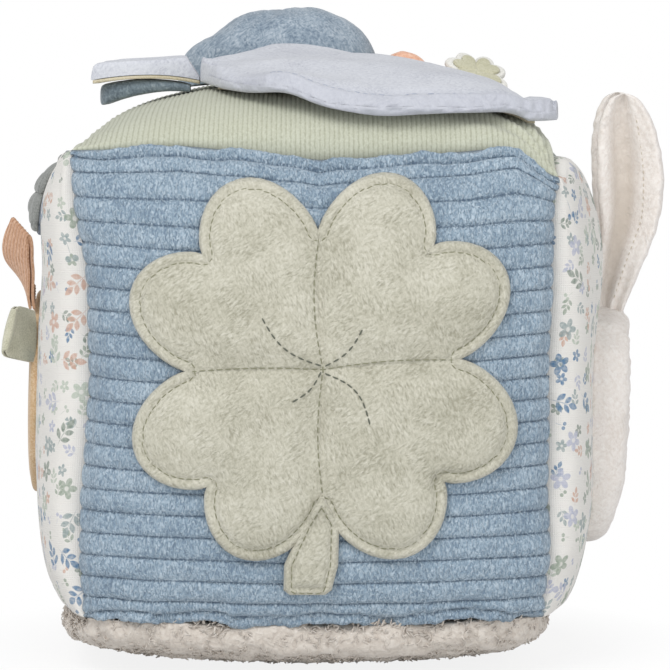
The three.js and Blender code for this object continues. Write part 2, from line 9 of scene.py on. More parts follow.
import bmesh
import bpy
import numpy as np
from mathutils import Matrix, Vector


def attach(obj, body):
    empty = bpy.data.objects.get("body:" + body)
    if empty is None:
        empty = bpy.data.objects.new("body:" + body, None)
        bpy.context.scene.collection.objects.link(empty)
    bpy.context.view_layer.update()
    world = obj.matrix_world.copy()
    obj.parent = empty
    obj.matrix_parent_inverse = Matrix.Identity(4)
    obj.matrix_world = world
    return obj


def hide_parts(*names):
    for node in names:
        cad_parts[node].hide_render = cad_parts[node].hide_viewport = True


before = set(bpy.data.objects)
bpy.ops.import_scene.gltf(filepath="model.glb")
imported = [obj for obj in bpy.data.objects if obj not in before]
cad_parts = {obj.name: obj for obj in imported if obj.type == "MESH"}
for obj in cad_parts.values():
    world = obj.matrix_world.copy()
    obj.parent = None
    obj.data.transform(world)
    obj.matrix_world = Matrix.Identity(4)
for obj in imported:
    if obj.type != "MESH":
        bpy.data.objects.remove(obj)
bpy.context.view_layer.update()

# %% [markdown]
# Sewn goods are drawn up in millimetres, so the shapes below are worked out in millimetres
# and turned to metres at the last step. These sizes are the ones that the model was cut to.

# %% Sizes of the cube, in millimetres
MM = 0.001
CUBE_HALF = 72.0
SEAM_HEIGHT = 144.0
FLOOR_TO_SEAM = 19.0
SEAM_DIP = 3.0
FOOT_SPREAD = 2.0
FOOT_DIP = 1.0
SIDE_CROWN = 21.5
TOP_CROWN = 28.0
FOOT_SWELL = 44.0
FOOT_CROWN = FLOOR_TO_SEAM - 2 * FOOT_DIP + 0.5
SEAM_TOP = FLOOR_TO_SEAM + SEAM_HEIGHT
MIDDLE = FLOOR_TO_SEAM + SEAM_HEIGHT / 2
CENTRE = np.array([0.0, 0.0, MIDDLE])
LAY_GAP = 0.4
print("cube:", 2 * CUBE_HALF, "mm between seams,", SEAM_HEIGHT, "mm tall at its corners")

# %% [markdown]
# Four small curves come up in every shape below: a climb from 0 to 1, a fall from 1 to 0, a
# hump and an arch. They take whole numpy arrays, because a panel has tens of thousands of
# points.

# %% Climb, fall, hump and arch
def climb(value, start, width):
    """0 up to the start, and 1 from a width past it."""
    return np.clip((value - start) / width, 0, 1)


def fall(value, end, width):
    """1 until a width before the end, and 0 from the end on."""
    return np.clip((end - value) / width, 0, 1)


def hump(value, middle, width):
    """1 at the middle, and next to nothing two widths to either side."""
    return np.exp(-((value - middle) / width) ** 2)


def arch(share, power=1):
    """0 at both ends of the way from 0 to 1, and 1 half way. A power below 1 makes it blunt."""
    return np.sin(math.pi * np.clip(share, 0, 1)) ** power


print("two widths off its middle a hump is", round(float(hump(2.0, 0.0, 1.0)), 3))

# %% [markdown]
# A stuffed panel swells from its seams. The same product of two bows gives the swell here and
# in the model, so cloth made from it lies where the model says. U and v run from -1 to 1
# between a panel's seams.

# %% The skin of the cube
def swell(u, v, power, fullness):
    rise = (1 - np.abs(u) ** power) * (1 - np.abs(v) ** power)
    return np.clip(rise, 0, 1) ** fullness


def half_at(share):
    """Half the distance between two seams, at a share of the way along them."""
    return CUBE_HALF - SEAM_DIP * (1 - share * share)


def side_skin(u, v):
    """Across, out and up of a side panel, seen from outside."""
    across_bow, up_bow = 1 - u * u, 1 - v * v
    low, high = (1 - v) / 2, (1 + v) / 2
    out = (CUBE_HALF + FOOT_SPREAD * across_bow * low
           - SEAM_DIP * (across_bow * high + up_bow) + SIDE_CROWN * swell(u, v, 2, 0.3))
    up = MIDDLE + v * SEAM_HEIGHT / 2 - across_bow * (SEAM_DIP * high + FOOT_DIP * low)
    return u * half_at(v), out, up


def top_skin(u, v):
    height = SEAM_TOP - SEAM_DIP * (2 - u * u - v * v) + TOP_CROWN * swell(u, v, 2, 0.35)
    return u * half_at(v), v * half_at(u), height


def foot_bulge(u, v):
    return FOOT_SWELL * (1 - u ** 4) * (1 - v ** 4)


def foot_skin(u, v):
    bulge = foot_bulge(u, v)
    height = FLOOR_TO_SEAM - FOOT_DIP * (2 - u * u - v * v) - FOOT_CROWN * swell(u, v, 2, 0.6)
    x = u * (CUBE_HALF + FOOT_SPREAD * (1 - v * v)) + u * bulge
    y = v * (CUBE_HALF + FOOT_SPREAD * (1 - u * u)) + v * bulge
    return x, y, np.maximum(0, height)


FOOT_HALF_GUESS = 110.0


def foot_height(x, y):
    """How high the underside is at a place on it, found by closing in on its u and v."""
    u, v = x / FOOT_HALF_GUESS, y / FOOT_HALF_GUESS
    for _ in range(30):
        bulge = foot_bulge(u, v)
        u = np.clip(0.5 * u + 0.5 * x / (CUBE_HALF + FOOT_SPREAD * (1 - v * v) + bulge), -1, 1)
        v = np.clip(0.5 * v + 0.5 * y / (CUBE_HALF + FOOT_SPREAD * (1 - u * u) + bulge), -1, 1)
    return foot_skin(u, v)[2]


TURNS = {
    "front": lambda across, out, up: (across, -out, up),
    "right": lambda across, out, up: (out, across, up),
    "back": lambda across, out, up: (-across, out, up),
    "left": lambda across, out, up: (-out, -across, up),
}


def side_reach(across, up):
    """How far out a side panel is at a place on it."""
    u, v = np.zeros_like(across + up), np.zeros_like(across + up)
    for _ in range(8):
        high = (1 + v) / 2
        dip = (1 - u * u) * (SEAM_DIP * high + FOOT_DIP * (1 - high))
        u = np.clip(across / half_at(v), -0.98, 0.98)
        v = np.clip((up - MIDDLE + dip) / (SEAM_HEIGHT / 2), -0.98, 0.98)
    return side_skin(u, v)[1]


def top_height(x, y):
    """How high the top panel is at a place on it."""
    u, v = np.zeros_like(x + y), np.zeros_like(x + y)
    for _ in range(8):
        u = np.clip(x / half_at(v), -0.93, 0.93)
        v = np.clip(y / half_at(u), -0.93, 0.93)
    return top_skin(u, v)[2]


def fuller_right(y, z):
    """The right panel is full behind its front seam, high up, and slim at its foot."""
    full = 5.0 * np.exp(-((z - 132.0) / 26.0) ** 2 - ((y + 32.0) / 16.0) ** 2)
    slim = (1.2 + 2.0 * np.clip(1 - (y / CUBE_HALF) ** 2, 0, 1)) * fall(z, 48.0, 30.0)
    return full - slim


def fuller_left(y, z):
    """The left panel is a little full just under its top seam, and slim at its foot."""
    return 1.8 * hump(z, 146.0, 14.0) - 0.6 * fall(z, 60.0, 30.0) + 0 * y


def on_front(x, z, out):
    return np.stack([x, -(side_reach(x, z) + out), z + 0 * x], axis=-1)


def on_right(y, z, out):
    return np.stack([side_reach(y, z) + fuller_right(y, z) + out, y, z + 0 * y], axis=-1)


def on_left(y, z, out):
    return np.stack([-(side_reach(y, z) + fuller_left(y, z) + out), y, z + 0 * y], axis=-1)


def on_top(x, y, height):
    return np.stack([x, y, top_height(x, y) + LAY_GAP + height], axis=-1)


middle_reach = side_reach(np.array(0.0), np.array(MIDDLE))
print("front reach at the middle:", round(float(middle_reach), 1), "mm")

# %% [markdown]
# Cloth is never quite smooth. A small noise function, the same on every run, gives each panel
# its slack places. It is read at points in space, so two panels that share a seam move together.

# %% Slack and folds
def noise(points, size, seed):
    """Soft noise from 0 to 1, with lumps of about the given size."""
    place = points / size + 17.3 * seed
    base = np.floor(place)
    share = place - base
    share = share * share * (3 - 2 * share)
    total = np.zeros(points.shape[:-1])
    for corner in itertools.product((0, 1), repeat=3):
        value = np.sin((base + corner) @ np.array([127.1, 311.7, 74.7])) * 43758.5453
        weight = np.prod(np.where(np.array(corner) == 1, share, 1 - share), axis=-1)
        total += weight * (value - np.floor(value))
    return total


def bumps(points, size, seed, height):
    """Noise about 0, for bumps and dents that reach half a height each way."""
    return (noise(points, size, seed) - 0.5) * height


SLUMPED_CORNER = np.array([CUBE_HALF, -CUBE_HALF, SEAM_TOP])
CORNER_DROP, SHOULDER_DROP, SHOULDER_SPREAD = 6.5, 2.6, 2.6
# How far the top front seam rises over the drawn one, from its left end to its right
FRONT_SEAM_X = [-74, -57, -42, -29, -11, 1.5, 26, 47, 61, 66, 74]
FRONT_SEAM_RISE = [1.5, 3.1, 5.0, 4.1, 2.8, 1.2, 2.0, 2.9, 4.2, 2.0, -2.0]
# How far the front panel's upright seams stand out beside the drawn ones, at a few heights
SEAM_HEIGHTS = [24, 32, 38, 56, 68, 80, 92, 105, 120, 136, 154]
LEFT_SEAM_OUT = [0.4, 2.0, 2.6, 2.9, 2.2, 1.5, 0.6, 0.7, 0.4, 0.0, 0.0]
RIGHT_SEAM_OUT = [0.0, 1.3, 2.4, 2.1, 2.7, 3.2, 3.1, 3.2, 3.7, 2.5, 0.4]


def slacken(points, deep=1.0, fine=0.5):
    """Dent the skin, fill out its sides, let the front panel's seams waver, and drop the right
    front corner."""
    dent = deep * (noise(points, 34.0, 1) - 0.4) + fine * (noise(points, 13.0, 2) - 0.5)
    towards = CENTRE - points
    loose = points + towards / np.linalg.norm(towards, axis=-1, keepdims=True) * dent[..., None]
    x, y, z = points[..., 0], points[..., 1], points[..., 2]
    slump = hump(np.linalg.norm(points - SLUMPED_CORNER, axis=-1), 0, 10.0)
    shoulder = climb(-x, 34, 38) * climb(z, SEAM_TOP, 9)
    aside = climb(np.abs(x), 45, 27)
    spread = climb(z, 115, 48) ** 2 * aside
    near_seam = hump(z, 158.5, np.where(z > 158.5, 8.0, 13.0))
    wavers = np.interp(x, FRONT_SEAM_X, FRONT_SEAM_RISE) * climb(-y, 58, 8) * near_seam
    loose[..., 2] += wavers - CORNER_DROP * slump - SHOULDER_DROP * shoulder
    loose[..., 0] += aside * np.where(x > 0, fuller_right(y, z), -fuller_left(y, z))
    loose[..., 0] += SHOULDER_SPREAD * np.sign(x) * spread
    at_seam = climb(np.abs(x), 60, 9) * climb(-y, 40, 32)
    loose[..., 0] += at_seam * np.where(x > 0, np.interp(z, SEAM_HEIGHTS, RIGHT_SEAM_OUT),
                                        -np.interp(z, SEAM_HEIGHTS, LEFT_SEAM_OUT))
    return loose


def outward(points):
    """Unit normals of a grid of points on the skin, pointing away from the cube's middle."""
    along = np.gradient(points, axis=1)
    up = np.gradient(points, axis=0)
    normal = np.cross(along, up)
    length = np.linalg.norm(normal, axis=-1, keepdims=True)
    way = normal / np.where(length > 1e-9, length, 1)
    return way * np.sign(np.sum(way * (points - CENTRE)))


def edge_fade(u, v, width):
    """0 at a seam, 1 past a width given as a share of half a panel."""
    near = np.minimum(1 - np.abs(u), 1 - np.abs(v))
    return np.clip(near / width, 0, 1) ** 0.7


print("noise at the origin:", round(float(noise(np.zeros((1, 3)), 10.0, 3)[0]), 3))

# %% [markdown]
# Every sewn piece below is two grids of points, an outer and an inner one, joined round their
# border. A grid can also wrap round on itself, as a disc does. Points that fall on the same
# spot are merged, which closes poles, rims and wrapped edges, and the faces are turned
# outwards if the body's volume comes out negative.

# %% From grids of points to a closed piece
def grid_quads(rows, columns, start):
    first = (np.arange(rows - 1)[:, None] * columns + np.arange(columns - 1)[None, :]).ravel()
    first = first + start
    return np.stack([first, first + 1, first + columns + 1, first + columns], axis=1)


def slab_faces(rows, columns, wrap):
    count = rows * columns
    index = np.arange(count).reshape(rows, columns)
    runs = [index[0, :], index[:, -1], index[-1, ::-1], index[::-1, 0]]
    if wrap:
        runs = [index[0, :], index[-1, ::-1]]
    faces = [grid_quads(rows, columns, 0), grid_quads(rows, columns, count)[:, ::-1]]
    for run in runs:
        here, there = run[:-1], run[1:]
        faces.append(np.stack([there, here, here + count, there + count], axis=1))
    return np.concatenate(faces)


def add_object(name, data):
    thing = bpy.data.objects.new(name, data)
    bpy.context.scene.collection.objects.link(thing)
    return thing


def new_mesh(name, points, faces, values=None, cloth_uv=None):
    mesh = bpy.data.meshes.new(name)
    mesh.from_pydata((points * MM).tolist(), [], faces.tolist())
    for key, value in (values or {}).items():
        layer = mesh.attributes.new(key, "FLOAT", "POINT")
        layer.data.foreach_set("value", np.ascontiguousarray(value, dtype=np.float32))
    if cloth_uv is not None:
        layer = mesh.uv_layers.new(name="cloth")
        corners = np.empty(len(mesh.loops), dtype=np.int32)
        mesh.loops.foreach_get("vertex_index", corners)
        layer.data.foreach_set("uv", cloth_uv[corners].ravel().astype(np.float32))
    form = bmesh.new()
    form.from_mesh(mesh)
    bmesh.ops.remove_doubles(form, verts=form.verts, dist=1e-6)
    bmesh.ops.dissolve_degenerate(form, edges=form.edges, dist=1e-7)
    if form.calc_volume(signed=True) < 0:
        bmesh.ops.reverse_faces(form, faces=form.faces)
    form.to_mesh(mesh)
    form.free()
    mesh.polygons.foreach_set("use_smooth", [True] * len(mesh.polygons))
    return mesh


def slab(name, outer, inner, material, wrap=False, values=None, cloth_uv=None, inner_share=1.0):
    """The inner face carries a share of the values that the outer one does."""
    rows, columns = outer.shape[:2]
    points = np.concatenate([outer.reshape(-1, 3), inner.reshape(-1, 3)])
    both = {key: np.concatenate([value.ravel(), value.ravel() * inner_share])
            for key, value in (values or {}).items()}
    uv = None if cloth_uv is None else np.concatenate([cloth_uv.reshape(-1, 2)] * 2)
    mesh = new_mesh(name, points, slab_faces(rows, columns, wrap), both, uv)
    mesh.materials.append(material)
    return add_object(name, mesh)


def settle(piece, body, slot, *nodes):
    """Say what a piece moves with and which nodes it stands for. Its slot, the finish it is in, is
    not used.
    """
    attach(piece, body)
    if nodes:
        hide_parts(*nodes)
    print(piece.name, "-", len(piece.data.polygons), "faces on", body)
    return piece


# %% [markdown]
# Materials come next. Colours are written as sRGB hex values, as a dyer's card gives them, and
# one function turns them to the linear light that a shader works in. One more function adds a
# node with its settings and links: everything else is written with it. The kinds of node that
# come up most have a short function each, which returns the socket with their result.

# %% Helpers for materials
def dye(code):
    parts = [int(code[i:i + 2], 16) / 255 for i in (1, 3, 5)]
    linear = [c / 12.92 if c <= 0.04045 else ((c + 0.055) / 1.055) ** 2.4 for c in parts]
    return (*linear, 1.0)


def put(tree, kind, values=None, **settings):
    """Add a node, set what it is told, and link the values that are sockets."""
    node = tree.nodes.new(kind)
    for key, value in settings.items():
        setattr(node, key, value)
    for key, value in (values or {}).items():
        socket = node.inputs[key]
        if isinstance(value, bpy.types.NodeSocket):
            tree.links.new(value, socket)
        else:
            socket.default_value = value
    return node


def maths(tree, operation, *values, **settings):
    return put(tree, "ShaderNodeMath", dict(enumerate(values)), operation=operation,
               **settings).outputs[0]


def vector_maths(tree, operation, *values):
    node = put(tree, "ShaderNodeVectorMath", dict(enumerate(values)), operation=operation)
    return node.outputs["Value" if operation in ("LENGTH", "DISTANCE") else "Vector"]


def ranged(tree, value, low, high, bottom=0.0, top=1.0, **settings):
    """Carry a value from one range over to another."""
    return put(tree, "ShaderNodeMapRange", {
        "Value": value, "From Min": low, "From Max": high, "To Min": bottom, "To Max": top},
        **settings).outputs[0]


def blend(tree, share, first, second):
    """A share of the way from one number to another."""
    return put(tree, "ShaderNodeMix", {0: share, 2: first, 3: second}).outputs[0]


def tinted(tree, share, first, second):
    """A share of the way from one colour to another."""
    return put(tree, "ShaderNodeMix", {0: share, 6: first, 7: second},
               data_type="RGBA").outputs[2]


def clouds(tree, place, size, detail=2.0, roughness=0.5, curl=0.0):
    """Noise from 0 to 1, with lumps of so many millimetres."""
    return put(tree, "ShaderNodeTexNoise", {
        "Vector": place, "Scale": 1 / (size * MM), "Detail": detail, "Roughness": roughness,
        "Distortion": curl}).outputs[0]


def place_on(tree):
    """The place of a point on its piece, which moves with the piece."""
    return put(tree, "ShaderNodeTexCoord").outputs["Object"]


def new_material(name):
    material = bpy.data.materials.new(name)
    material.use_nodes = True
    material.node_tree.nodes.clear()
    return material, material.node_tree


def shades(tree, factor, stops, interpolation="LINEAR"):
    """A colour ramp: stops are pairs of a place and a colour."""
    ramp = put(tree, "ShaderNodeValToRGB", {"Fac": factor})
    bar = ramp.color_ramp
    bar.interpolation = interpolation
    while len(bar.elements) < len(stops):
        bar.elements.new(0.5)
    for element, (place, code) in zip(bar.elements, stops):
        element.position = place
        element.color = dye(code)
    return ramp.outputs["Color"]


def finish_cloth(tree, colour, height, relief, roughness=0.95, sheen=0.25):
    """A cloth's surface: dull, with a little sheen from the ends of its fibres."""
    bump = put(tree, "ShaderNodeBump", {"Height": height, "Distance": relief * MM,
                                        "Strength": 1.0})
    surface = put(tree, "ShaderNodeBsdfPrincipled", {
        "Base Color": colour, "Roughness": roughness, "Sheen Weight": sheen,
        "Sheen Roughness": 0.5, "Specular IOR Level": 0.15, "Normal": bump.outputs["Normal"]})
    put(tree, "ShaderNodeOutputMaterial", {"Surface": surface.outputs["BSDF"]})


# %% [markdown]
# Most of the figures are velour: a knitted polyester whose short pile stands up in small tufts
# and lies over in patches where a hand has brushed it. Fine noise draws the tufts, about 1 mm
# across, which lie one of two ways from patch to patch. Broad noise shades the colour over
# them, and the tufts alone make the bump.

# %% Velour, felt and woven cotton
NAP_LEANS = (0.35, -0.95)


def pile_cloth(name, dark, mid, light, tuft=1.1, relief=0.35, patch=16.0, sheen=0.3, curl=0.0,
               lie=1.0, painted_shade=None):
    """Tuft and patch are sizes in mm, curl twists the tufts, and lie combs them flat. Painted
    shade is an attribute and a darker colour that the cloth turns to where the attribute is high."""
    material, tree = new_material(name)
    place = place_on(tree)
    brushed = ranged(tree, clouds(tree, place, patch * 0.6, 1.0), 0.4, 0.6)
    naps = []
    for lean in NAP_LEANS:
        combed = put(tree, "ShaderNodeVectorRotate", {"Vector": place, "Angle": lean},
                     rotation_type="Y_AXIS").outputs[0]
        combed = vector_maths(tree, "MULTIPLY", combed, (1.0, 1.0, 1 / lie))
        naps.append(clouds(tree, combed, tuft, 2.5, 0.6, curl))
    fine = blend(tree, brushed, *naps)
    both = blend(tree, 0.3, fine, clouds(tree, place, patch))
    colour = shades(tree, both, [(0.36, dark), (0.5, mid), (0.64, light)])
    # Painted shade: the attribute turns the pile's colour towards the darker one
    if painted_shade:
        deep = put(tree, "ShaderNodeAttribute", attribute_name=painted_shade[0]).outputs["Fac"]
        colour = tinted(tree, deep, colour, dye(painted_shade[1]))
    finish_cloth(tree, colour, fine, relief, sheen=sheen)
    return material


def felt(colour_name, dark, mid, light):
    return pile_cloth(colour_name + " pressed felt", dark, mid, light, tuft=0.6, relief=0.12)


sage_velour = pile_cloth("sage velour", "#9f9c8b", "#bbb8a8", "#cfccbe", tuft=0.7, relief=0.5,
                         curl=0.4, lie=2.2)
# Its roll colour is painted shade on the wing's rolled front edge
lilac_velour = pile_cloth("lilac velour", "#b7b9c2", "#c9cbd2", "#d4d6dc", tuft=0.8, relief=0.3,
                          curl=0.4, lie=1.8, painted_shade=("roll", "#b7b9c2"))
blue_velour = pile_cloth("blue velour", "#6f7f8f", "#92a0ad", "#b5bfc8", tuft=0.7, relief=0.5,
                         patch=6.5, curl=0.2, lie=2.6)
# The lobe's slate is a darker copy of the blue velour: partly its own tone, partly painted shade
slate_velour_painted_shade = pile_cloth("slate velour", "#5e6a73", "#76838b", "#929da3", tuft=0.7, relief=0.5,
                          patch=9.0, curl=0.3, lie=2.0)
peach_velour = pile_cloth("peach velour", "#dba184", "#eab89c", "#f2cbb4")
# Its hollow colour is painted shade in the ears' hollows
cream_sherpa = pile_cloth("cream sherpa", "#ddd4cc", "#e8e1db", "#f0ebe6", tuft=1.0, relief=0.35,
                          curl=0.5, patch=14.0, lie=1.4, painted_shade=("hollow", "#c9bfb4"))
white_felt = felt("white", "#d5d3cb", "#e4e2dc", "#efeee9")
green_felt = felt("green", "#b4b195", "#c3c0a6", "#cfccb6")
# The flower's grey and slate felts are dark partly in their own tone and partly as painted shade
grey_felt = felt("grey", "#757774", "#8b8d8a", "#9fa19d")
slate_felt_painted_shade = felt("slate", "#4a5361", "#5d6775", "#76808b")
tan_felt = felt("tan", "#bd9a72", "#cbae8a", "#dac2a2")
sage_velvet = pile_cloth("sage velvet", "#aba993", "#c3c1ab", "#d7d4c1", tuft=0.5, relief=0.12,
                         patch=6.0, sheen=0.5)
beige_cotton = pile_cloth("beige cotton", "#b3a98b", "#c9bfa6", "#d8d0ba", tuft=0.4, relief=0.06)
print("velours and felts:", len(bpy.data.materials))

# %% [markdown]
# Jumbo cord is a cut pile in wide ribs. The ribs themselves are in the mesh. The material adds
# the curly pile, whose tufts are well under 1 mm across, and darkens the grooves, where little
# light gets in. The mesh says how high each point is on its rib, from 0 in a groove to 1.

# %% Jumbo cord
def cord_cloth(name, groove, dark, mid, light, tuft, relief):
    material, tree = new_material(name)
    place = place_on(tree)
    combed = vector_maths(tree, "MULTIPLY", place, (1.0, 1.0, 0.45))
    fine = clouds(tree, combed, tuft, 2.0, 0.6, 0.8)
    both = blend(tree, 0.2, fine, clouds(tree, place, 14))
    pile = shades(tree, both, [(0.36, dark), (0.5, mid), (0.63, light)])
    rib = put(tree, "ShaderNodeAttribute", attribute_name="rib").outputs["Fac"]
    lit = ranged(tree, maths(tree, "MULTIPLY_ADD", fine, 1.1, rib), 0.45, 1.0)
    finish_cloth(tree, tinted(tree, lit, dye(groove), pile), fine, relief)
    return material


blue_cord = cord_cloth("dusty blue jumbo cord", "#55677a", "#74879a", "#94a7b7", "#b8c7d3",
                       tuft=0.62, relief=0.9)
sage_cord = cord_cloth("sage fine cord", "#a6a793", "#bbbca9", "#c2c4b2", "#c9cbba",
                       tuft=0.5, relief=0.08)
print("cords:", blue_cord.name, "and", sage_cord.name)

# %% [markdown]
# The side panels are printed cotton: an off-white poplin with sprigs, five-petal blossoms and
# pairs of berries scattered over it. The print is a generic one. A Voronoi texture drops one
# motif in each of its cells, and gives each cell a random colour, which is used to turn the
# motif and to pick its kind and its dye. A leaf is where its half width, a bow along its
# length, is more than the distance from its midrib, so it stays crisp at any zoom. Motifs are
# drawn in shares of a cell.

# %% Printed cotton
LEAF_DYES = ["#98a394", "#93a0a0", "#5d7f9f", "#b2b5c6", "#c9a593", "#848f84", "#b3bcae"]
# Each layer of motifs: the size of its cells in mm, where its chart starts, and its dyes
PRINT_LAYERS = [(7.2, (11.4, 2.1, 0.0), LEAF_DYES[::-1]), (12.0, (3.2, 7.7, 0.0), LEAF_DYES)]
SOFT_RIM = 0.025


def leaf_mask(tree, across, along, start, length, half_width):
    """1 inside a pointed leaf that grows along one axis from its start."""
    share = ranged(tree, along, start, start + length, -1.0, 1.0, clamp=False)
    squared = maths(tree, "MULTIPLY", share, share)
    bow = maths(tree, "MULTIPLY_ADD", squared, -half_width, half_width)
    inside = maths(tree, "SUBTRACT", bow, maths(tree, "ABSOLUTE", across))
    return ranged(tree, inside, 0.0, SOFT_RIM)


def turned(tree, vector, angle, shift=(0, 0, 0)):
    moved = vector_maths(tree, "SUBTRACT", vector, shift)
    return put(tree, "ShaderNodeVectorRotate", {"Vector": moved, "Angle": angle},
               rotation_type="Z_AXIS").outputs[0]


def axes(tree, vector):
    return put(tree, "ShaderNodeSeparateXYZ", {"Vector": vector}).outputs


def motif_layer(tree, place, cell, offset, dyes):
    """Colour and mask of one layer of scattered motifs, one to a cell of so many millimetres."""
    grid = vector_maths(tree, "MULTIPLY", place, (1 / cell,) * 3)
    grid = vector_maths(tree, "ADD", grid, offset)
    cells = put(tree, "ShaderNodeTexVoronoi", {"Vector": grid, "Scale": 1.0, "Randomness": 0.6},
                voronoi_dimensions="2D")
    local = vector_maths(tree, "SUBTRACT", grid, cells.outputs["Position"])
    pick = put(tree, "ShaderNodeSeparateColor", {"Color": cells.outputs["Color"]}).outputs
    facing = turned(tree, local, maths(tree, "MULTIPLY", pick[0], 2 * math.pi))
    apart = axes(tree, facing)
    x, y = apart["X"], apart["Y"]
    aside = maths(tree, "ABSOLUTE", x)
    folded = put(tree, "ShaderNodeCombineXYZ", {"X": aside, "Y": y}).outputs[0]
    # A sprig: a thin stem, a leaf at its end, and two pairs of leaves that grow from the stem
    sprig = maths(tree, "MAXIMUM", leaf_mask(tree, x, y, -0.48, 0.75, 0.022),
                  leaf_mask(tree, x, y, 0.12, 0.36, 0.1))
    for foot, length, lean in ((-0.24, 0.33, 0.85), (-0.02, 0.3, 0.75)):
        leaf = axes(tree, turned(tree, folded, lean, (0.0, foot, 0.0)))
        pair = leaf_mask(tree, leaf["X"], leaf["Y"], 0.02, length, 0.085)
        sprig = maths(tree, "MAXIMUM", sprig, pair)
    # A blossom: five petals round a pale middle
    around = maths(tree, "MULTIPLY", maths(tree, "ARCTAN2", y, x), 2.5)
    waves = maths(tree, "ABSOLUTE", maths(tree, "COSINE", around))
    reach = maths(tree, "MULTIPLY_ADD", waves, 0.17, 0.13)
    away = vector_maths(tree, "LENGTH", facing)
    petals = ranged(tree, maths(tree, "SUBTRACT", reach, away), 0.0, SOFT_RIM)
    blossom = maths(tree, "MULTIPLY", petals, ranged(tree, away, 0.05, 0.075, 0.25, 1.0))
    # A pair of berries beside a thin stalk
    stalk = leaf_mask(tree, aside, y, -0.34, 0.46, 0.02)
    from_berry = vector_maths(tree, "DISTANCE", folded, (0.1, 0.16, 0.0))
    berries = maths(tree, "MAXIMUM", stalk, ranged(tree, from_berry, 0.095, 0.075))
    mask = blend(tree, maths(tree, "GREATER_THAN", pick[2], 0.45), sprig, blossom)
    mask = blend(tree, maths(tree, "GREATER_THAN", pick[2], 0.82), mask, berries)
    stops = [(i / len(dyes), code) for i, code in enumerate(dyes)]
    return shades(tree, pick[1], stops, "CONSTANT"), mask


def printed_cloth(name, ground):
    material, tree = new_material(name)
    chart = put(tree, "ShaderNodeUVMap", uv_map="cloth").outputs["UV"]
    place = vector_maths(tree, "MULTIPLY", chart, (2 * CUBE_HALF,) * 3)
    wash = put(tree, "ShaderNodeTexNoise", {"Vector": place, "Scale": 0.9, "Detail": 2.0})
    strength = ranged(tree, wash.outputs[0], 0.3, 0.7, 0.55, 1.0)
    colour = dye(ground)
    for cell, offset, dyes in PRINT_LAYERS:
        tint, mask = motif_layer(tree, place, cell, offset, dyes)
        share = maths(tree, "MULTIPLY", mask, strength, use_clamp=True)
        colour = tinted(tree, share, colour, tint)
    # The poplin's threads lie 0.7 mm apart, drawn as a faint check
    warp, weft = [put(tree, "ShaderNodeTexWave", {"Vector": place, "Scale": 0.45},
                      bands_direction=way).outputs["Fac"] for way in "XY"]
    weave = maths(tree, "ADD", warp, weft)
    finish_cloth(tree, colour, weave, 0.05, roughness=0.85, sheen=0.1)
    return material


printed_cotton = printed_cloth("printed cotton poplin", "#e2dfda")
print("print:", len(printed_cotton.node_tree.nodes), "nodes")

# %% [markdown]
# The front panel is the first piece. Its grid has ten rows of points to a rib, so that each
# groove falls on a row and stays sharp. Only the top rib has more, for the stitched seam that
# runs along it. The rows wander a little across the panel, as ribs do when cloth is stretched
# by stuffing, and the ribs are pressed flat where they run into a seam.

# %% The corded front and back panels
RIBS = 21
ROWS_PER_RIB, ROWS_IN_TOP_RIB = 10, 39
RIB_CREST = 1.1
WALL = 1.8
# The side, place and swing of the lines of stitches near the top and the foot, in shares of
# half a panel
STITCH_LINES = ((1, 0.966, 0.012), (-1, 0.965, 0.05))


def eased(steps):
    return np.sin(np.linspace(-1, 1, steps + 1) * math.pi / 2)


def inward(points, depth):
    return CENTRE + (points - CENTRE) * (1 - depth / CUBE_HALF)


def square_chart(u, v):
    return np.stack([(u + 1) / 2, (v + 1) / 2], axis=-1)


def pucker(u, v, seed, reach=0.16, depth=1.0):
    """Short folds that run in from the seams and die out: where the thread gathers the cloth."""
    total = np.zeros_like(u)
    for along, off, turn in ((u, 1 - np.abs(v), 0), (v, 1 - np.abs(u), 1)):
        line = np.stack([along * CUBE_HALF, off * 18.0, np.full_like(u, 10.0 * turn)], axis=-1)
        total += (hump(off, 0, reach) * np.minimum(1, off / 0.012)
                  * (noise(line, 6.5, seed + turn) - 0.75))
    return depth * total


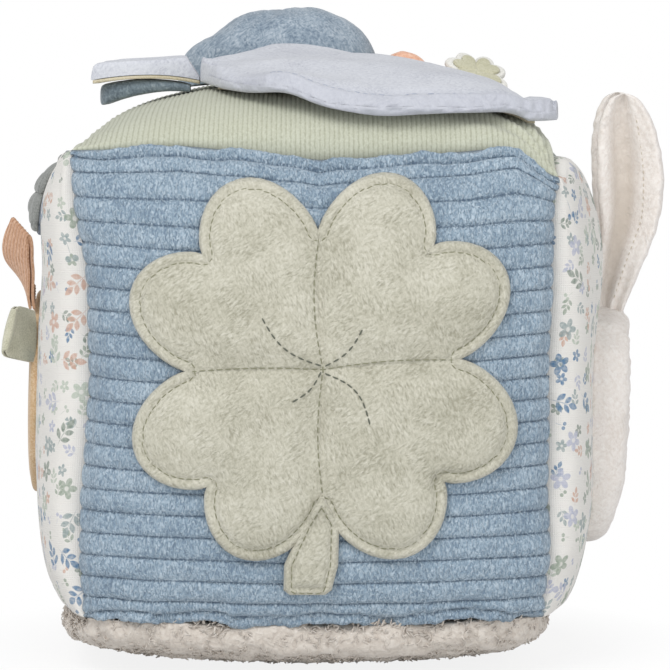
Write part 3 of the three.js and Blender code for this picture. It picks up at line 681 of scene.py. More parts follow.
def cord_panel(name, turn, seed):
    top_rib = 1 - 2 / RIBS
    rows = np.concatenate([np.linspace(-1, top_rib, (RIBS - 1) * ROWS_PER_RIB + 1),
                           np.linspace(top_rib, 1, ROWS_IN_TOP_RIB + 1)[1:]])
    u, v = np.meshgrid((eased(240) + np.linspace(-1, 1, 241)) / 2, rows)
    line = np.stack([u * CUBE_HALF, v * CUBE_HALF, np.zeros_like(u)], axis=-1)
    part = (v + 1) / 2 * RIBS
    inside = 2 * (part - np.floor(part + 1e-9)) - 1
    rib = np.clip(1 - np.abs(inside) ** 2.6, 0, 1) ** 0.7
    # The seams' own stitches draw a wavy groove beside them, and leave a puffed strip outside it
    wave = noise(line * np.array([1, 0, 0]), 11.0, seed + 9) - 0.5
    roll = np.zeros_like(v)
    ends = fall(np.abs(u), 1, 0.06)
    for seam_side, place, swing in STITCH_LINES:
        off = seam_side * v - place - swing * wave
        puffed = hump(off, 0.018, 0.011) * (0.6 + 0.9 * noise(line, 4.0, seed + 11))
        roll += puffed * ends
        rib = np.maximum(rib, np.clip(1.3 * roll, 0, 1)) * (1 - 0.97 * hump(off, 0, 0.007))
    wander = bumps(line * np.array([1, 0.6, 1]), 26.0, seed, 0.02) * (1 - v ** 8)
    ripple = bumps(line * np.array([1, 0.4, 1]), 9.0, seed + 1, 0.012)
    wander += ripple * v ** 4 * (1 - v ** 24)
    across, out, up = side_skin(u, v + wander)
    across = across + np.sign(u) * climb(np.abs(u), 0.985, 0.015) * (rib - 0.1)
    skin = slacken(np.stack(TURNS[turn](across, out, up), axis=-1), 0.7, 0.35)
    uneven = 0.75 + 0.5 * noise(line * np.array([1, 3, 1]), 12.0, seed + 3)
    rise = RIB_CREST * rib * np.clip(uneven, 0, 1) * (0.35 + 0.65 * edge_fade(u, v, 0.03)) - 0.5
    rise += pucker(u, v, seed + 5, depth=1.8) + 1.9 * roll
    tufts = skin * np.array([1, 1, 0.5])
    nap = bumps(tufts, 1.5, seed + 7, 0.7) + bumps(tufts, 0.9, seed + 8, 0.4)
    outer = skin + outward(skin) * ((rise + nap * rib) * edge_fade(u, v, 0.01))[..., None]
    return slab(name, outer, inward(skin, WALL), blue_cord, values={"rib": rib},
                cloth_uv=square_chart(u, v))


front_panel = settle(cord_panel("front_cord_panel", "front", 11), "cube", "dusty_blue_cord",
                     "front_panel")
back_panel = settle(cord_panel("back_cord_panel", "back", 12), "cube", "dusty_blue_cord",
                    "back_panel")

# %% [markdown]
# The two side panels are plain-woven, so the folds at their seams show more than on cord. The
# grid carries a chart of the flat cloth as its UV map, and the print is read from that chart,
# so it swells with the panel and does not slide over it.

# %% The printed side panels
def paced(points, axis):
    """Length along the cloth from the panel's middle line, for an even print."""
    steps = np.linalg.norm(np.diff(points, axis=axis), axis=-1)
    run = np.concatenate([np.zeros_like(np.take(steps, [0], axis)), np.cumsum(steps, axis)], axis)
    return run - np.take(run, [run.shape[axis] // 2], axis)


def print_panel(name, turn, seed):
    u, v = np.meshgrid(eased(130), eased(130))
    skin = slacken(np.stack(TURNS[turn](*side_skin(u, v)), axis=-1))
    rise = pucker(u, v, seed, depth=2.0) * edge_fade(u, v, 0.02)
    outer = skin + outward(skin) * rise[..., None]
    chart = np.stack([paced(skin, 1), paced(skin, 0)], axis=-1) / (2 * CUBE_HALF) + seed
    return slab(name, outer, inward(skin, WALL), printed_cotton, cloth_uv=chart)


left_panel = settle(print_panel("left_print_panel", "left", 3), "cube", "printed_cotton",
                    "left_panel")
right_panel = settle(print_panel("right_print_panel", "right", 6), "cube", "printed_cotton",
                     "right_panel")

# %% [markdown]
# The top is a fine cord, 1.5 mm from rib to rib, that runs from front to back. Each rib gets
# four steps across it. Towards the right front corner the cloth was eased into the seam, and
# the gathers there are drawn as folds that fan out from the corner.

# %% The fine-corded top panel
FINE_RIBS = 96
STEPS_PER_FINE_RIB = 4
FINE_RIB_CREST = 0.4


def top_cord_panel():
    columns = np.linspace(-1, 1, FINE_RIBS * STEPS_PER_FINE_RIB + 1)
    u, v = np.meshgrid(columns, eased(84))
    skin = slacken(np.stack(top_skin(u, v), axis=-1), 0.8, 0.4)
    rib = 0.5 - 0.5 * np.cos((u + 1) * FINE_RIBS * math.pi)
    corner = np.hypot(u - 1, v + 1)
    fan = np.arctan2(v + 1, 1 - u)
    gathers = hump(corner, 0, 0.34) * np.sin(fan * 13.0) * 0.9 * np.minimum(1, corner / 0.1)
    rise = FINE_RIB_CREST * rib + pucker(u, v, 21, depth=1.1) + gathers - 0.3
    outer = skin + outward(skin) * (rise * edge_fade(u, v, 0.02))[..., None]
    return slab("top_cord_panel", outer, inward(skin, WALL), sage_cord, values={"rib": rib},
                cloth_uv=square_chart(u, v))


top_panel = settle(top_cord_panel(), "cube", "sage_cord", "top_panel")

# %% [markdown]
# The bottom is teddy fleece: a knit with a soft pile about 2 mm long that clumps into lumps of
# 3 to 5 mm. The lumps are in its skin, and Geometry Nodes then plants locks of pile on it. A
# lock rises from the knit, bends over and thins out to its tip.

# %% Teddy fleece
def fleece_cloth(name, dark, mid, light):
    material, tree = new_material(name)
    lumps = clouds(tree, place_on(tree), 2.2, 3.0, 0.6, 1.2)
    colour = shades(tree, lumps, [(0.34, dark), (0.5, mid), (0.64, light)])
    finish_cloth(tree, colour, lumps, 0.6, sheen=0.3)
    return material


teddy_fleece = fleece_cloth("cream teddy fleece", "#c5bbb1", "#d0c7bd", "#dad2c9")

# How far the roll would stand out if it didn't fade in and out again beside the seam. The left
# and right sides get a share of it, and it rises by a share of how far it stands out.
FOOT_ROLL = 10.0
LEFT_ROLL_SHARE, RIGHT_ROLL_SHARE = 0.45, 0.2
ROLL_RISE = 0.42
RIGHT_END_PULL = 6.0


def foot_shape(u, v, roll=FOOT_ROLL):
    """The foot's skin, drawn in a little at its right end, where it is pulled by the seam. Its
    pile stands out in a full roll just under the seam."""
    x, y, z = foot_skin(u, v)
    pulled = climb(x, 35, 45) ** 2
    rolls = []
    for share, other in ((u, v), (v, u)):
        off = 1 - np.abs(share)
        rolls.append(roll * np.sign(share) * (1 - np.exp(-off / 0.012)) * np.exp(-off / 0.10)
                     * (1 - np.abs(other) ** 8))
    rolls[0] = rolls[0] * np.where(u < 0, LEFT_ROLL_SHARE, RIGHT_ROLL_SHARE)
    x = x - RIGHT_END_PULL * pulled * (1 - np.abs(u) ** 8) + rolls[0]
    z = z + ROLL_RISE * np.maximum(np.abs(rolls[0]) * 1.5, np.abs(rolls[1]))
    return np.stack([x, y * 0.982 + rolls[1], z], axis=-1)


def bottom_fleece_panel():
    u, v = np.meshgrid(eased(150), eased(150))
    skin = slacken(foot_shape(u, v), 0.0, 0.0)
    lumps = noise(skin, 5.0, 31) * 2.0 + noise(skin, 2.4, 32) * 0.8 - 2.2
    outer = skin + outward(skin) * (lumps * edge_fade(u, v, 0.03))[..., None]
    outer[..., 2] = np.maximum(outer[..., 2], 0.05)
    # Its inner face has no roll, because the roll is all pile
    inner = inward(slacken(foot_shape(u, v, roll=0.0), 0.0, 0.0), WALL)
    return slab("bottom_fleece_panel", outer, inner, teddy_fleece)


bottom_panel = bottom_fleece_panel()
print("fleece:", len(bottom_panel.data.polygons), "faces")

# %% [markdown]
# Two small node trees do the repeated work of this model. The first plants locks of pile on a
# surface. The second sews: it walks along a line and lays a stitch at every step. Their sizes
# are named inputs, so the same tree serves every seam. Each result is turned into a plain mesh.

# %% Geometry Nodes: a tree for pile, a tree for stitches
def new_tree(name, inputs):
    tree = bpy.data.node_groups.new(name, "GeometryNodeTree")
    tree.interface.new_socket("Geometry", in_out="INPUT", socket_type="NodeSocketGeometry")
    for label, kind in inputs:
        tree.interface.new_socket(label, in_out="INPUT", socket_type=kind)
    tree.interface.new_socket("Geometry", in_out="OUTPUT", socket_type="NodeSocketGeometry")
    return tree, tree.nodes.new("NodeGroupInput").outputs


def close_tree(tree, instances, material):
    real = put(tree, "GeometryNodeRealizeInstances", {"Geometry": instances})
    soft = put(tree, "GeometryNodeSetShadeSmooth", {"Geometry": real.outputs[0]})
    done = put(tree, "GeometryNodeSetMaterial", {
        "Geometry": soft.outputs[0], "Material": material})
    put(tree, "NodeGroupOutput", {"Geometry": done.outputs[0]})


def pile_tree():
    tree, given = new_tree("pile", [
        ("Density", "NodeSocketFloat"), ("Length", "NodeSocketFloat"),
        ("Root radius", "NodeSocketFloat"), ("Lowest", "NodeSocketFloat"),
        ("Seed", "NodeSocketInt"), ("Material", "NodeSocketMaterial")])
    place = put(tree, "GeometryNodeInputPosition").outputs[0]
    height = put(tree, "ShaderNodeSeparateXYZ", {0: place})
    high = put(tree, "FunctionNodeCompare", {"A": height.outputs["Z"], "B": given["Lowest"]},
               operation="GREATER_THAN")
    spots = put(tree, "GeometryNodeDistributePointsOnFaces", {
        "Mesh": given["Geometry"], "Selection": high.outputs[0], "Density": given["Density"],
        "Seed": given["Seed"]})
    bend = {}
    for end, share in (("Start", (0, 0, -0.35)), ("Middle", (0, 0, 0.5)), ("End", (0.9, 0, 0.3))):
        bend[end] = put(tree, "ShaderNodeVectorMath", {0: share, "Scale": given["Length"]},
                        operation="SCALE").outputs[0]
    lock = put(tree, "GeometryNodeCurveQuadraticBezier", {"Resolution": 3, **bend})
    along = put(tree, "GeometryNodeSplineParameter")
    thins = maths(tree, "MULTIPLY_ADD", along.outputs["Factor"], -0.75, 1.0)
    section = put(tree, "GeometryNodeCurvePrimitiveCircle", {
        "Resolution": 3, "Radius": given["Root radius"]})
    hair = put(tree, "GeometryNodeCurveToMesh", {
        "Curve": lock.outputs[0], "Profile Curve": section.outputs[0], "Scale": thins,
        "Fill Caps": True})
    spin = put(tree, "FunctionNodeRandomValue", {
        0: (-0.45, -0.45, 0.0), 1: (0.45, 0.45, 2 * math.pi), "Seed": 5}, data_type="FLOAT_VECTOR")
    turn = put(tree, "FunctionNodeRotateRotation", {
        "Rotation": spots.outputs["Rotation"], "Rotate By": spin.outputs[0]},
        rotation_space="LOCAL")
    size = put(tree, "FunctionNodeRandomValue", {2: 0.7, 3: 1.25, "Seed": 6})
    pile = put(tree, "GeometryNodeInstanceOnPoints", {
        "Points": spots.outputs["Points"], "Instance": hair.outputs[0],
        "Rotation": turn.outputs[0], "Scale": size.outputs[1]})
    close_tree(tree, pile.outputs[0], given["Material"])
    return tree


def stitch_tree():
    tree, given = new_tree("stitches", [
        ("Pitch", "NodeSocketFloat"), ("Stitch length", "NodeSocketFloat"),
        ("Thread radius", "NodeSocketFloat"), ("Material", "NodeSocketMaterial")])
    line = put(tree, "GeometryNodeMeshToCurve", {"Mesh": given["Geometry"]})
    steps = put(tree, "GeometryNodeCurveToPoints", {
        "Curve": line.outputs[0], "Length": given["Pitch"]}, mode="LENGTH")
    along = put(tree, "FunctionNodeAlignRotationToVector", {"Vector": steps.outputs["Tangent"]},
                axis="Z")
    half = maths(tree, "MULTIPLY", given["Stitch length"], 0.5)
    shape = put(tree, "ShaderNodeCombineXYZ", {
        "X": given["Thread radius"], "Y": given["Thread radius"], "Z": half})
    bead = put(tree, "GeometryNodeMeshIcoSphere", {"Radius": 1.0, "Subdivisions": 2})
    sewn = put(tree, "GeometryNodeInstanceOnPoints", {
        "Points": steps.outputs["Points"], "Instance": bead.outputs[0],
        "Rotation": along.outputs[0], "Scale": shape.outputs[0]})
    close_tree(tree, sewn.outputs[0], given["Material"])
    return tree


def grow(name, source, tree, values):
    """Run a tree on a mesh and return what it makes as a plain piece."""
    holder = add_object(name + "_source", source)
    modifier = holder.modifiers.new(name, "NODES")
    modifier.node_group = tree
    sockets = {item.name: item.identifier for item in tree.interface.items_tree
               if item.in_out == "INPUT"}
    for label, value in values.items():
        modifier[sockets[label]] = value
    graph = bpy.context.evaluated_depsgraph_get()
    mesh = bpy.data.meshes.new_from_object(holder.evaluated_get(graph))
    bpy.data.objects.remove(holder)
    return add_object(name, mesh)


pile, stitches = pile_tree(), stitch_tree()
print("trees:", pile.name, "and", stitches.name)

# %% [markdown]
# The pile is planted on the outer face of the fleece alone, and then joined to its skin, so that
# the two are one piece.

# %% Pile on the fleece bottom
def outer_only(points):
    rows, columns = points.shape[:2]
    mesh = bpy.data.meshes.new("fleece_skin")
    mesh.from_pydata((points.reshape(-1, 3) * MM).tolist(), [],
                     grid_quads(rows, columns, 0)[:, ::-1].tolist())
    return mesh


def join(name, pieces):
    """Join pieces of one body into a new one, with all their materials."""
    form = bmesh.new()
    materials = []
    for piece in pieces:
        start = len(form.faces)
        form.from_mesh(piece.data)
        form.faces.ensure_lookup_table()
        for material in piece.data.materials:
            if material not in materials:
                materials.append(material)
        places = [materials.index(material) for material in piece.data.materials]
        for face in form.faces[start:]:
            face.material_index = places[min(face.material_index, len(places) - 1)]
    mesh = bpy.data.meshes.new(name)
    form.to_mesh(mesh)
    form.free()
    for material in materials:
        mesh.materials.append(material)
    for piece in pieces:
        bpy.data.objects.remove(piece)
    return add_object(name, mesh)


# No pile is planted in the last few millimetres, which are sewn into the seam
PLANTED = 0.985
u, v = np.meshgrid(eased(60) * PLANTED, eased(60) * PLANTED)
fleece_skin = outer_only(slacken(inward(foot_shape(u, v), 0.9), 0.0, 0.0))
fleece_pile = grow("fleece_pile", fleece_skin, pile, {
    "Density": 380000.0, "Length": 2.1 * MM, "Root radius": 0.55 * MM, "Lowest": 3.6 * MM,
    "Seed": 4, "Material": teddy_fleece})
bottom_panel = settle(join("bottom_fleece_panel", [bottom_panel, fleece_pile]), "cube",
                      "cream_fleece", "bottom_panel")

# %% [markdown]
# Thread is polyester: round, a little shiny and dense in colour. A machine sews these figures
# with a stitch of about 2.5 mm, of which some 2 mm shows and the rest dips into the cloth.

# %% Thread, and a function that sews along lines
def thread(name, code):
    material, tree = new_material(name)
    twist = clouds(tree, place_on(tree), 0.3, 1.0)
    finish_cloth(tree, dye(code), twist, 0.03, roughness=0.6, sheen=0.1)
    return material


STITCH_PITCH = 2.5
STITCH_SHOWN = 2.05
THREAD_RADIUS = 0.2


def sew(name, lines, material, pitch=STITCH_PITCH, shown=STITCH_SHOWN, radius=THREAD_RADIUS):
    """A stitch at every step along each line of points, in millimetres."""
    mesh = bpy.data.meshes.new(name)
    points, edges = [], []
    for line in lines:
        start = len(points)
        points += (np.asarray(line) * MM).tolist()
        edges += [(start + i, start + i + 1) for i in range(len(line) - 1)]
    mesh.from_pydata(points, edges, [])
    return grow(name, mesh, stitches, {
        "Pitch": pitch * MM, "Stitch length": shown * MM, "Thread radius": radius * MM,
        "Material": material})


sage_thread = thread("sage thread", "#86866f")
dark_thread = thread("dark sage thread", "#63665b")
lilac_thread = thread("lilac thread", "#a3a9b8")
cream_thread = thread("cream thread", "#c9bfae")

# %% [markdown]
# The clover is two layers of velour, sewn together round the edge and quilted along a cross.
# Its outline is a rule: the distance from the middle rises and falls over each leaf, with a
# deep notch between leaves and a shallow one in each. The height of the cloth is a rule too.
# It rounds over at the rim, dips at the two kinds of stitching and is puffed in between, and
# the same rule then puts the stitches on the cloth.

# %% The quilted clover
CLOVER_MIDDLE = (2.4, 98.0)
LEAF_STARTS = np.radians([4.0, 92.0, 181.0, 270.0, 364.0])
BORDER = 3.2
RIM = 2.1


def clover_edge(turn, deep=42.5, shallow=51.0, rise=16.5):
    leaves = 2 * turn / math.pi
    leaf = np.clip(np.floor(leaves + 1e-9), 0, 3).astype(int)
    share = np.clip(leaves - leaf, 0, 1)
    lobe = 2 * np.minimum(share, 1 - share)
    angle = LEAF_STARTS[leaf] + (LEAF_STARTS[leaf + 1] - LEAF_STARTS[leaf]) * share
    return angle, deep + (shallow - deep) * lobe + rise * np.abs(np.sin(math.pi * lobe)) ** 0.83


def outline(turn):
    angle, reach = clover_edge(turn)
    return np.stack([reach * np.cos(angle), reach * np.sin(angle)], axis=-1)


def level(flat):
    """Flat places as places in space, for the noise."""
    return np.stack([flat[..., 0], flat[..., 1], 0 * flat[..., 0]], axis=-1)


def round_grid(turns, rings, power):
    """Turns round a disc and shares of the way to its rim, which close up towards the rim."""
    turn, ring = np.meshgrid(np.linspace(0, 2 * math.pi, turns), np.linspace(0, 1, rings))
    return turn, 1 - (1 - ring) ** power


def distance_to(points, line):
    """Least distance from each point to a line of points, both flat."""
    nearest = np.full(points.shape[:-1], 1e9)
    for start, end in zip(line[:-1], line[1:]):
        way = end - start
        share = np.clip(((points - start) @ way) / max(way @ way, 1e-9), 0, 1)
        gap = np.linalg.norm(points - start - share[..., None] * way, axis=-1)
        nearest = np.minimum(nearest, gap)
    return nearest


def round_over(distance, radius):
    return np.sqrt(np.clip(1 - (1 - np.clip(distance / radius, 0, 1)) ** 2, 0, 1))


CLOVER_OUTLINE = outline(np.linspace(0, 2 * math.pi, 241))
QUILT_LINES = [np.array([[0.0, 0.0], outline(np.array(quarter * math.pi / 2))])
               for quarter in range(4)]


def clover_height(flat):
    """How far the clover's face stands off the ribs, at places measured from its middle."""
    edge = distance_to(flat, CLOVER_OUTLINE)
    quilt = np.min([distance_to(flat, line) for line in QUILT_LINES], axis=0)
    inside = climb(edge, BORDER, 2)
    swollen = 2.7 * (1 - np.exp(-np.clip(edge - BORDER, 0, None) / 6))
    puff = swollen * (1 - hump(quilt, 0, 6.5))
    place = level(flat)
    slack = bumps(place, 15.0, 41, 1.2) * inside + bumps(place, 5.0, 42, 0.35)
    topstitch = 0.75 * hump(edge, BORDER, 0.75)
    quilting = 0.7 * hump(quilt, 0, 0.9) * inside
    face = RIM * round_over(edge, 1.5) + puff + slack * round_over(edge, 4.0)
    return face - topstitch - quilting


CLOVER_LIES = RIB_CREST + 0.1


def on_clover(flat, height):
    return on_front(CLOVER_MIDDLE[0] + flat[..., 0], CLOVER_MIDDLE[1] + flat[..., 1], height)


def clover_form():
    turn, share = round_grid(361, 50, 1.35)
    angle, reach = clover_edge(turn)
    flat = (share * reach)[..., None] * np.stack([np.cos(angle), np.sin(angle)], axis=-1)
    top = np.maximum(clover_height(flat), 0)
    return slab("clover", on_clover(flat, CLOVER_LIES + top),
                on_clover(flat, CLOVER_LIES + 0 * top), sage_velour, wrap=True)


clover = clover_form()
print("clover:", len(clover.data.polygons), "faces")

# %% [markdown]
# The stitches are laid on the clover by the rule that gives its height: one line round the
# inside of its edge, a cross that quilts it, and the veins of its leaves in darker thread.

# %% The clover's topstitching, quilting and veins
def seam_inside(distance, turns=720):
    """The line that runs a steady distance inside the clover's edge."""
    line = []
    for turn in np.linspace(0, 2 * math.pi, turns):
        angle, reach = clover_edge(np.array(turn))
        shares = np.linspace(0.55, 1, 60)
        ray = shares[:, None] * reach * np.array([np.cos(angle), np.sin(angle)])
        gap = distance_to(ray, CLOVER_OUTLINE)
        keep = np.where(gap >= distance)[0]
        line.append(ray[keep[-1] if len(keep) else 0])
    return np.array(line)


def lay_thread(flat, lift=0.1):
    return on_clover(flat, CLOVER_LIES + clover_height(flat) + lift)


def bow(start, end, bend, count=24):
    """A gently bent line between two flat points."""
    start, end = np.array(start, float), np.array(end, float)
    share = np.linspace(0, 1, count)[:, None]
    aside = np.array([-(end - start)[1], (end - start)[0]])
    return start + (end - start) * share + aside * bend * np.sin(math.pi * share)


quilt_runs = [bow((0, 0), 0.925 * line[1], bend) for line, bend in
              zip(QUILT_LINES, (0.03, 0.05, -0.02, -0.04))]
vein_runs = [bow((-1.5, 1.5), (-18.0, 15.0), 0.12), bow((1.5, 1.5), (11.5, 11.5), -0.1),
             bow((-1.0, -1.5), (-8.5, -9.2), 0.1), bow((1.5, -1.5), (14.0, -15.5), 0.16)]
rim_stitches = sew("rim_stitches", [lay_thread(seam_inside(BORDER))], sage_thread)
quilt_stitches = sew("quilt_stitches", [lay_thread(run) for run in quilt_runs], sage_thread)
vein_stitches = sew("vein_stitches", [lay_thread(run) for run in vein_runs], dark_thread,
                    radius=0.28)
clover = settle(join("quilted_clover", [clover, rim_stitches, quilt_stitches, vein_stitches]),
                "cube", "sage_velour", "clover_backing", "clover_face")

# %% [markdown]
# The stem is sewn on between the two lower leaves. Its middle line leans to the left, and its
# half width grows towards the foot and then rounds in. Both are read from a few stations, as a
# pattern cutter would mark them.

# %% The stem
STATIONS = np.array([0.0, 0.3, 0.7, 0.93, 1.0])
STEM_DOWN = np.array([38.7, 47.5, 60.0, 68.0, 69.6])
STEM_MIDDLE = np.array([-0.3, -0.6, -3.6, -4.7, -4.8])
STEM_HALF = np.array([0.6, 5.6, 8.3, 7.4, 5.4])
STEM_BORDER = 2.4


def stem_place(side, down):
    x = np.interp(down, STATIONS, STEM_MIDDLE) + side * np.interp(down, STATIONS, STEM_HALF)
    return np.stack([x, -np.interp(down, STATIONS, STEM_DOWN)], axis=-1)


def stem_outline():
    run = np.linspace(0, 1, 40)
    left, right = stem_place(-np.ones(40), run), stem_place(np.ones(40), run)
    return np.concatenate([left, right[::-1], left[:1]])


STEM_OUTLINE = stem_outline()


def stem_height(flat):
    edge = distance_to(flat, STEM_OUTLINE)
    puff = 1.6 * (1 - np.exp(-np.clip(edge - STEM_BORDER, 0, None) / 2.5))
    return (2.4 * round_over(edge, 1.6) + puff - 0.6 * hump(edge, STEM_BORDER, 0.7)
            + bumps(level(flat), 5.0, 44, 0.4))


def stem_step(flat):
    """The head of the stem lies on the clover, and the rest of it lies on the ribs."""
    return (1 - climb(-flat[..., 1], 43.0, 5.0)) * 1.6


def stem_form():
    side, down = np.meshgrid(eased(40), (eased(70) + 1) / 2)
    flat = stem_place(side, down)
    bed = RIB_CREST + 0.15 + stem_step(flat)
    return slab("stem", on_clover(flat, bed + np.maximum(stem_height(flat), 0)),
                on_clover(flat, bed), sage_velour)


def stem_seam():
    run = np.linspace(0.14, 0.965, 40)
    flat = [stem_place(np.full(40, side), run) for side in (-1.0, 1.0)]
    inset = [np.stack([part[:, 0] - side * STEM_BORDER, part[:, 1]], axis=-1)
             for part, side in zip(flat, (-1.0, 1.0))]
    around = np.concatenate([inset[0], inset[1][::-1]])
    return on_clover(around, RIB_CREST + 0.25 + stem_step(around) + stem_height(around))


stem = join("clover_stem_cloth", [stem_form(), sew("stem_stitches", [stem_seam()], sage_thread)])
stem = settle(stem, "cube", "sage_velour", "clover_stem")

# %% [markdown]
# On top lies a plush bird, flattened as a sewn-down animal is: a stuffed body, a padded wing in
# front of it, two tail feathers and a beak. The body is a round cushion whose rim is sewn to
# the panel. It is fuller towards the head, and the cloth creases where it is drawn tight.

# %% The bird's body and beak
BODY = {"x": -12.0, "y": 15.0, "length": 66.0, "width": 40.0, "height": 23.5, "rim": 1.5}
BEAK = {"x": 30.0, "y": 15.0, "length": 16.0, "width": 13.0, "height": 9.9, "rim": 1.2}


def cushion(size, creases, fuller=(), rings=44, turns=160, taper=0.2, seed=51):
    turn, share = np.meshgrid(np.linspace(0, 2 * math.pi, turns + 1),
                              np.linspace(0, 1, rings) ** 0.75)
    x = size["x"] + share * size["length"] / 2 * np.cos(turn)
    y = size["y"] + share * size["width"] / 2 * np.sin(turn) * (1 + taper * np.cos(turn))
    height = size["rim"] * 0.5 + (size["height"] - size["rim"] * 0.5) * (1 - share ** 2) ** 0.42
    for spot, width, more in fuller:
        height += more * hump(x, spot, width) * (1 - share ** 2)
    place = np.stack([x, y, height], axis=-1)
    full = fall(share, 1, 0.12)
    full = full * full * (3 - 2 * full)
    for spot, lean, width, deep in creases:
        away = x - spot - lean * (y - size["y"] + size["width"] / 2)
        uneven = 0.4 + 0.6 * noise(place, 8.0, seed)
        height -= deep * hump(away, 0, width) * full * uneven
    drawn = noise(place * np.array([0.35, 1, 1]), 5.5, seed + 1) - 0.5
    height += (drawn * 1.5 + bumps(place, 2.4, seed + 2, 0.4)) * full
    return on_top(x, y, height), on_top(x, y, np.zeros_like(height))


# Creases: a spot, its lean, its width and its depth. Fullness: a spot, its width and its rise
body_creases = [(-27.0, 0.6, 3.0, 1.0), (-20.0, 0.5, 2.6, 1.3), (-10.0, 0.3, 3.0, 0.5),
                (11.0, -0.3, 4.5, 0.7)]
body_fullness = [(-35.0, 9.0, -5.5), (12.0, 12.0, 1.6)]
bird_body = slab("bird_body_cloth", *cushion(BODY, body_creases, body_fullness), blue_velour,
                 wrap=True)
bird_body = settle(bird_body, "cube", "blue_velour", "bird_body")
beak = slab("bird_beak_cloth", *cushion(BEAK, [], rings=20, turns=72, taper=0.0, seed=55),
            peach_velour, wrap=True)
beak = settle(beak, "cube", "peach_velour", "bird_beak")

# %% [markdown]
# The wing is a leaf of padded velour. Two curves, drawn in shares of its length and depth, are
# its front and back edges, and every point lies somewhere between them. A line of topstitching
# holds the padding a little inside the front edge, where the pile is longer and curls. There
# the pile is also coloured darker, as painted shade on the rolled front edge.

# %% The wing and its lining
WAIST, WING_LENGTH, WING_DEPTH, WING_ROOT, WING_LIFT = -36.5, 112.5, 58.6, -7.4, 5.6
WING_OVERHANG = 6.0
WING_SEAM = 3.4
FRONT_EDGE = [(0, 0.3), (0.08, 0.676), (0.25, 0.915), (0.518, 1), (0.75, 0.983), (0.911, 0.932),
              (0.991, 0.863)]
BACK_EDGE = [(0, 0.13), (0.08, 0.017), (0.25, 0), (0.518, 0.017), (0.75, 0.147), (0.911, 0.471),
             (1, 0.761)]
# Where the front edge waves up or down: a spot, its reach and its rise
FRONT_WAVER = [(-9.0, 9.0, 2.8), (20.0, 9.0, -0.8), (60.0, 7.0, 1.0)]


def through(points, share):
    """A smooth curve through points, evenly shared out between them."""
    points = np.asarray(points, float)
    last = len(points) - 1
    run = np.clip(share, 0, 1) * last
    first = np.minimum(np.floor(run), last - 1).astype(int)
    t = (run - first)[..., None]
    a, b = points[np.maximum(first - 1, 0)], points[first]
    c, d = points[first + 1], points[np.minimum(first + 2, last)]
    m, n = (c - a) / 2, (d - b) / 2
    return ((2 * b - 2 * c + m + n) * t ** 3 + (-3 * b + 3 * c - 2 * m - n) * t ** 2 + m * t + b)


def wing_edge(shares, t):
    flat = through(shares, t)
    return np.stack([WAIST + flat[..., 0] * WING_LENGTH, WING_ROOT - flat[..., 1] * WING_DEPTH],
                    axis=-1)


def wing_place(t, w):
    """Where a share of the length and of the depth lies, how high its bed is, and its width."""
    front, back = wing_edge(FRONT_EDGE, t), wing_edge(BACK_EDGE, t)
    share = ((w + 1) / 2)[..., None]
    flat = front + (back - front) * share
    width = np.linalg.norm(back - front, axis=-1)
    beside = np.clip(1 - ((flat[..., 0] + 14.0) / 26.0) ** 2, 0, 1)
    bed = WING_LIFT * beside * share[..., 0] ** 4 * climb(t, 0, 0.3) ** 1.5
    near_front = hump((w + 1) / 2 * width, 0, 9.0)
    for spot, reach, rise in FRONT_WAVER:
        bed += rise * near_front * hump(flat[..., 0], spot, reach)
    # The front edge stands out over the falling top, which leaves it in the wing's shade
    resting = top_height(flat[..., 0], flat[..., 1])
    flat[..., 1] -= WING_OVERHANG * near_front ** 2 * arch(t, 0.7)
    return flat, bed + 1.05 * (resting - top_height(flat[..., 0], flat[..., 1])), width


def over_top(flat, height):
    return on_top(flat[..., 0], flat[..., 1], height)


def wing_height(t, w, flat, width):
    """Height of the padding over the wing's bed."""
    from_front = (w + 1) / 2 * width
    from_back = (1 - w) / 2 * width
    blunt_ends = np.minimum(1.5 * (t + 0.003), 1.8 * (1.008 - t)) * WING_LENGTH
    edge = np.minimum(np.minimum(from_front, from_back), blunt_ends)
    full = arch(0.06 + 0.9 * t, 0.7)
    ends = np.maximum(hump(t, 0, 0.14), climb(t, 0.7, 0.15))
    full = np.maximum(full, 0.85 * ends)
    place = level(flat)
    sewn = climb(t, 0.2, 0.2) * fall(t, 0.97, 0.03)
    height = 2.6 * round_over(edge, 2.2) + (0.3 + 4.4 * full) * round_over(edge, 7.0)
    height -= sewn * 0.8 * hump(from_front, WING_SEAM, 0.9)
    height += sewn * 1.2 * hump(from_front, 1.6, 1.2)
    gathers = hump(t, 0, 0.17) * np.cos(w * 9.0 + 5 * t) * 1.3
    folds = bumps(place * np.array([0.45, 1, 1]), 12.0, 61, 2.8)
    dimple = 2.0 * hump(t, 0.965, 0.012) * hump(w, -0.2, 0.35)
    curly = (noise(place, 1.9, 62) - 0.5) * (0.2 + 1.2 * sewn * hump(from_front, 0, 4))
    return height + (gathers + folds + curly) * round_over(edge, 6.0) - dimple


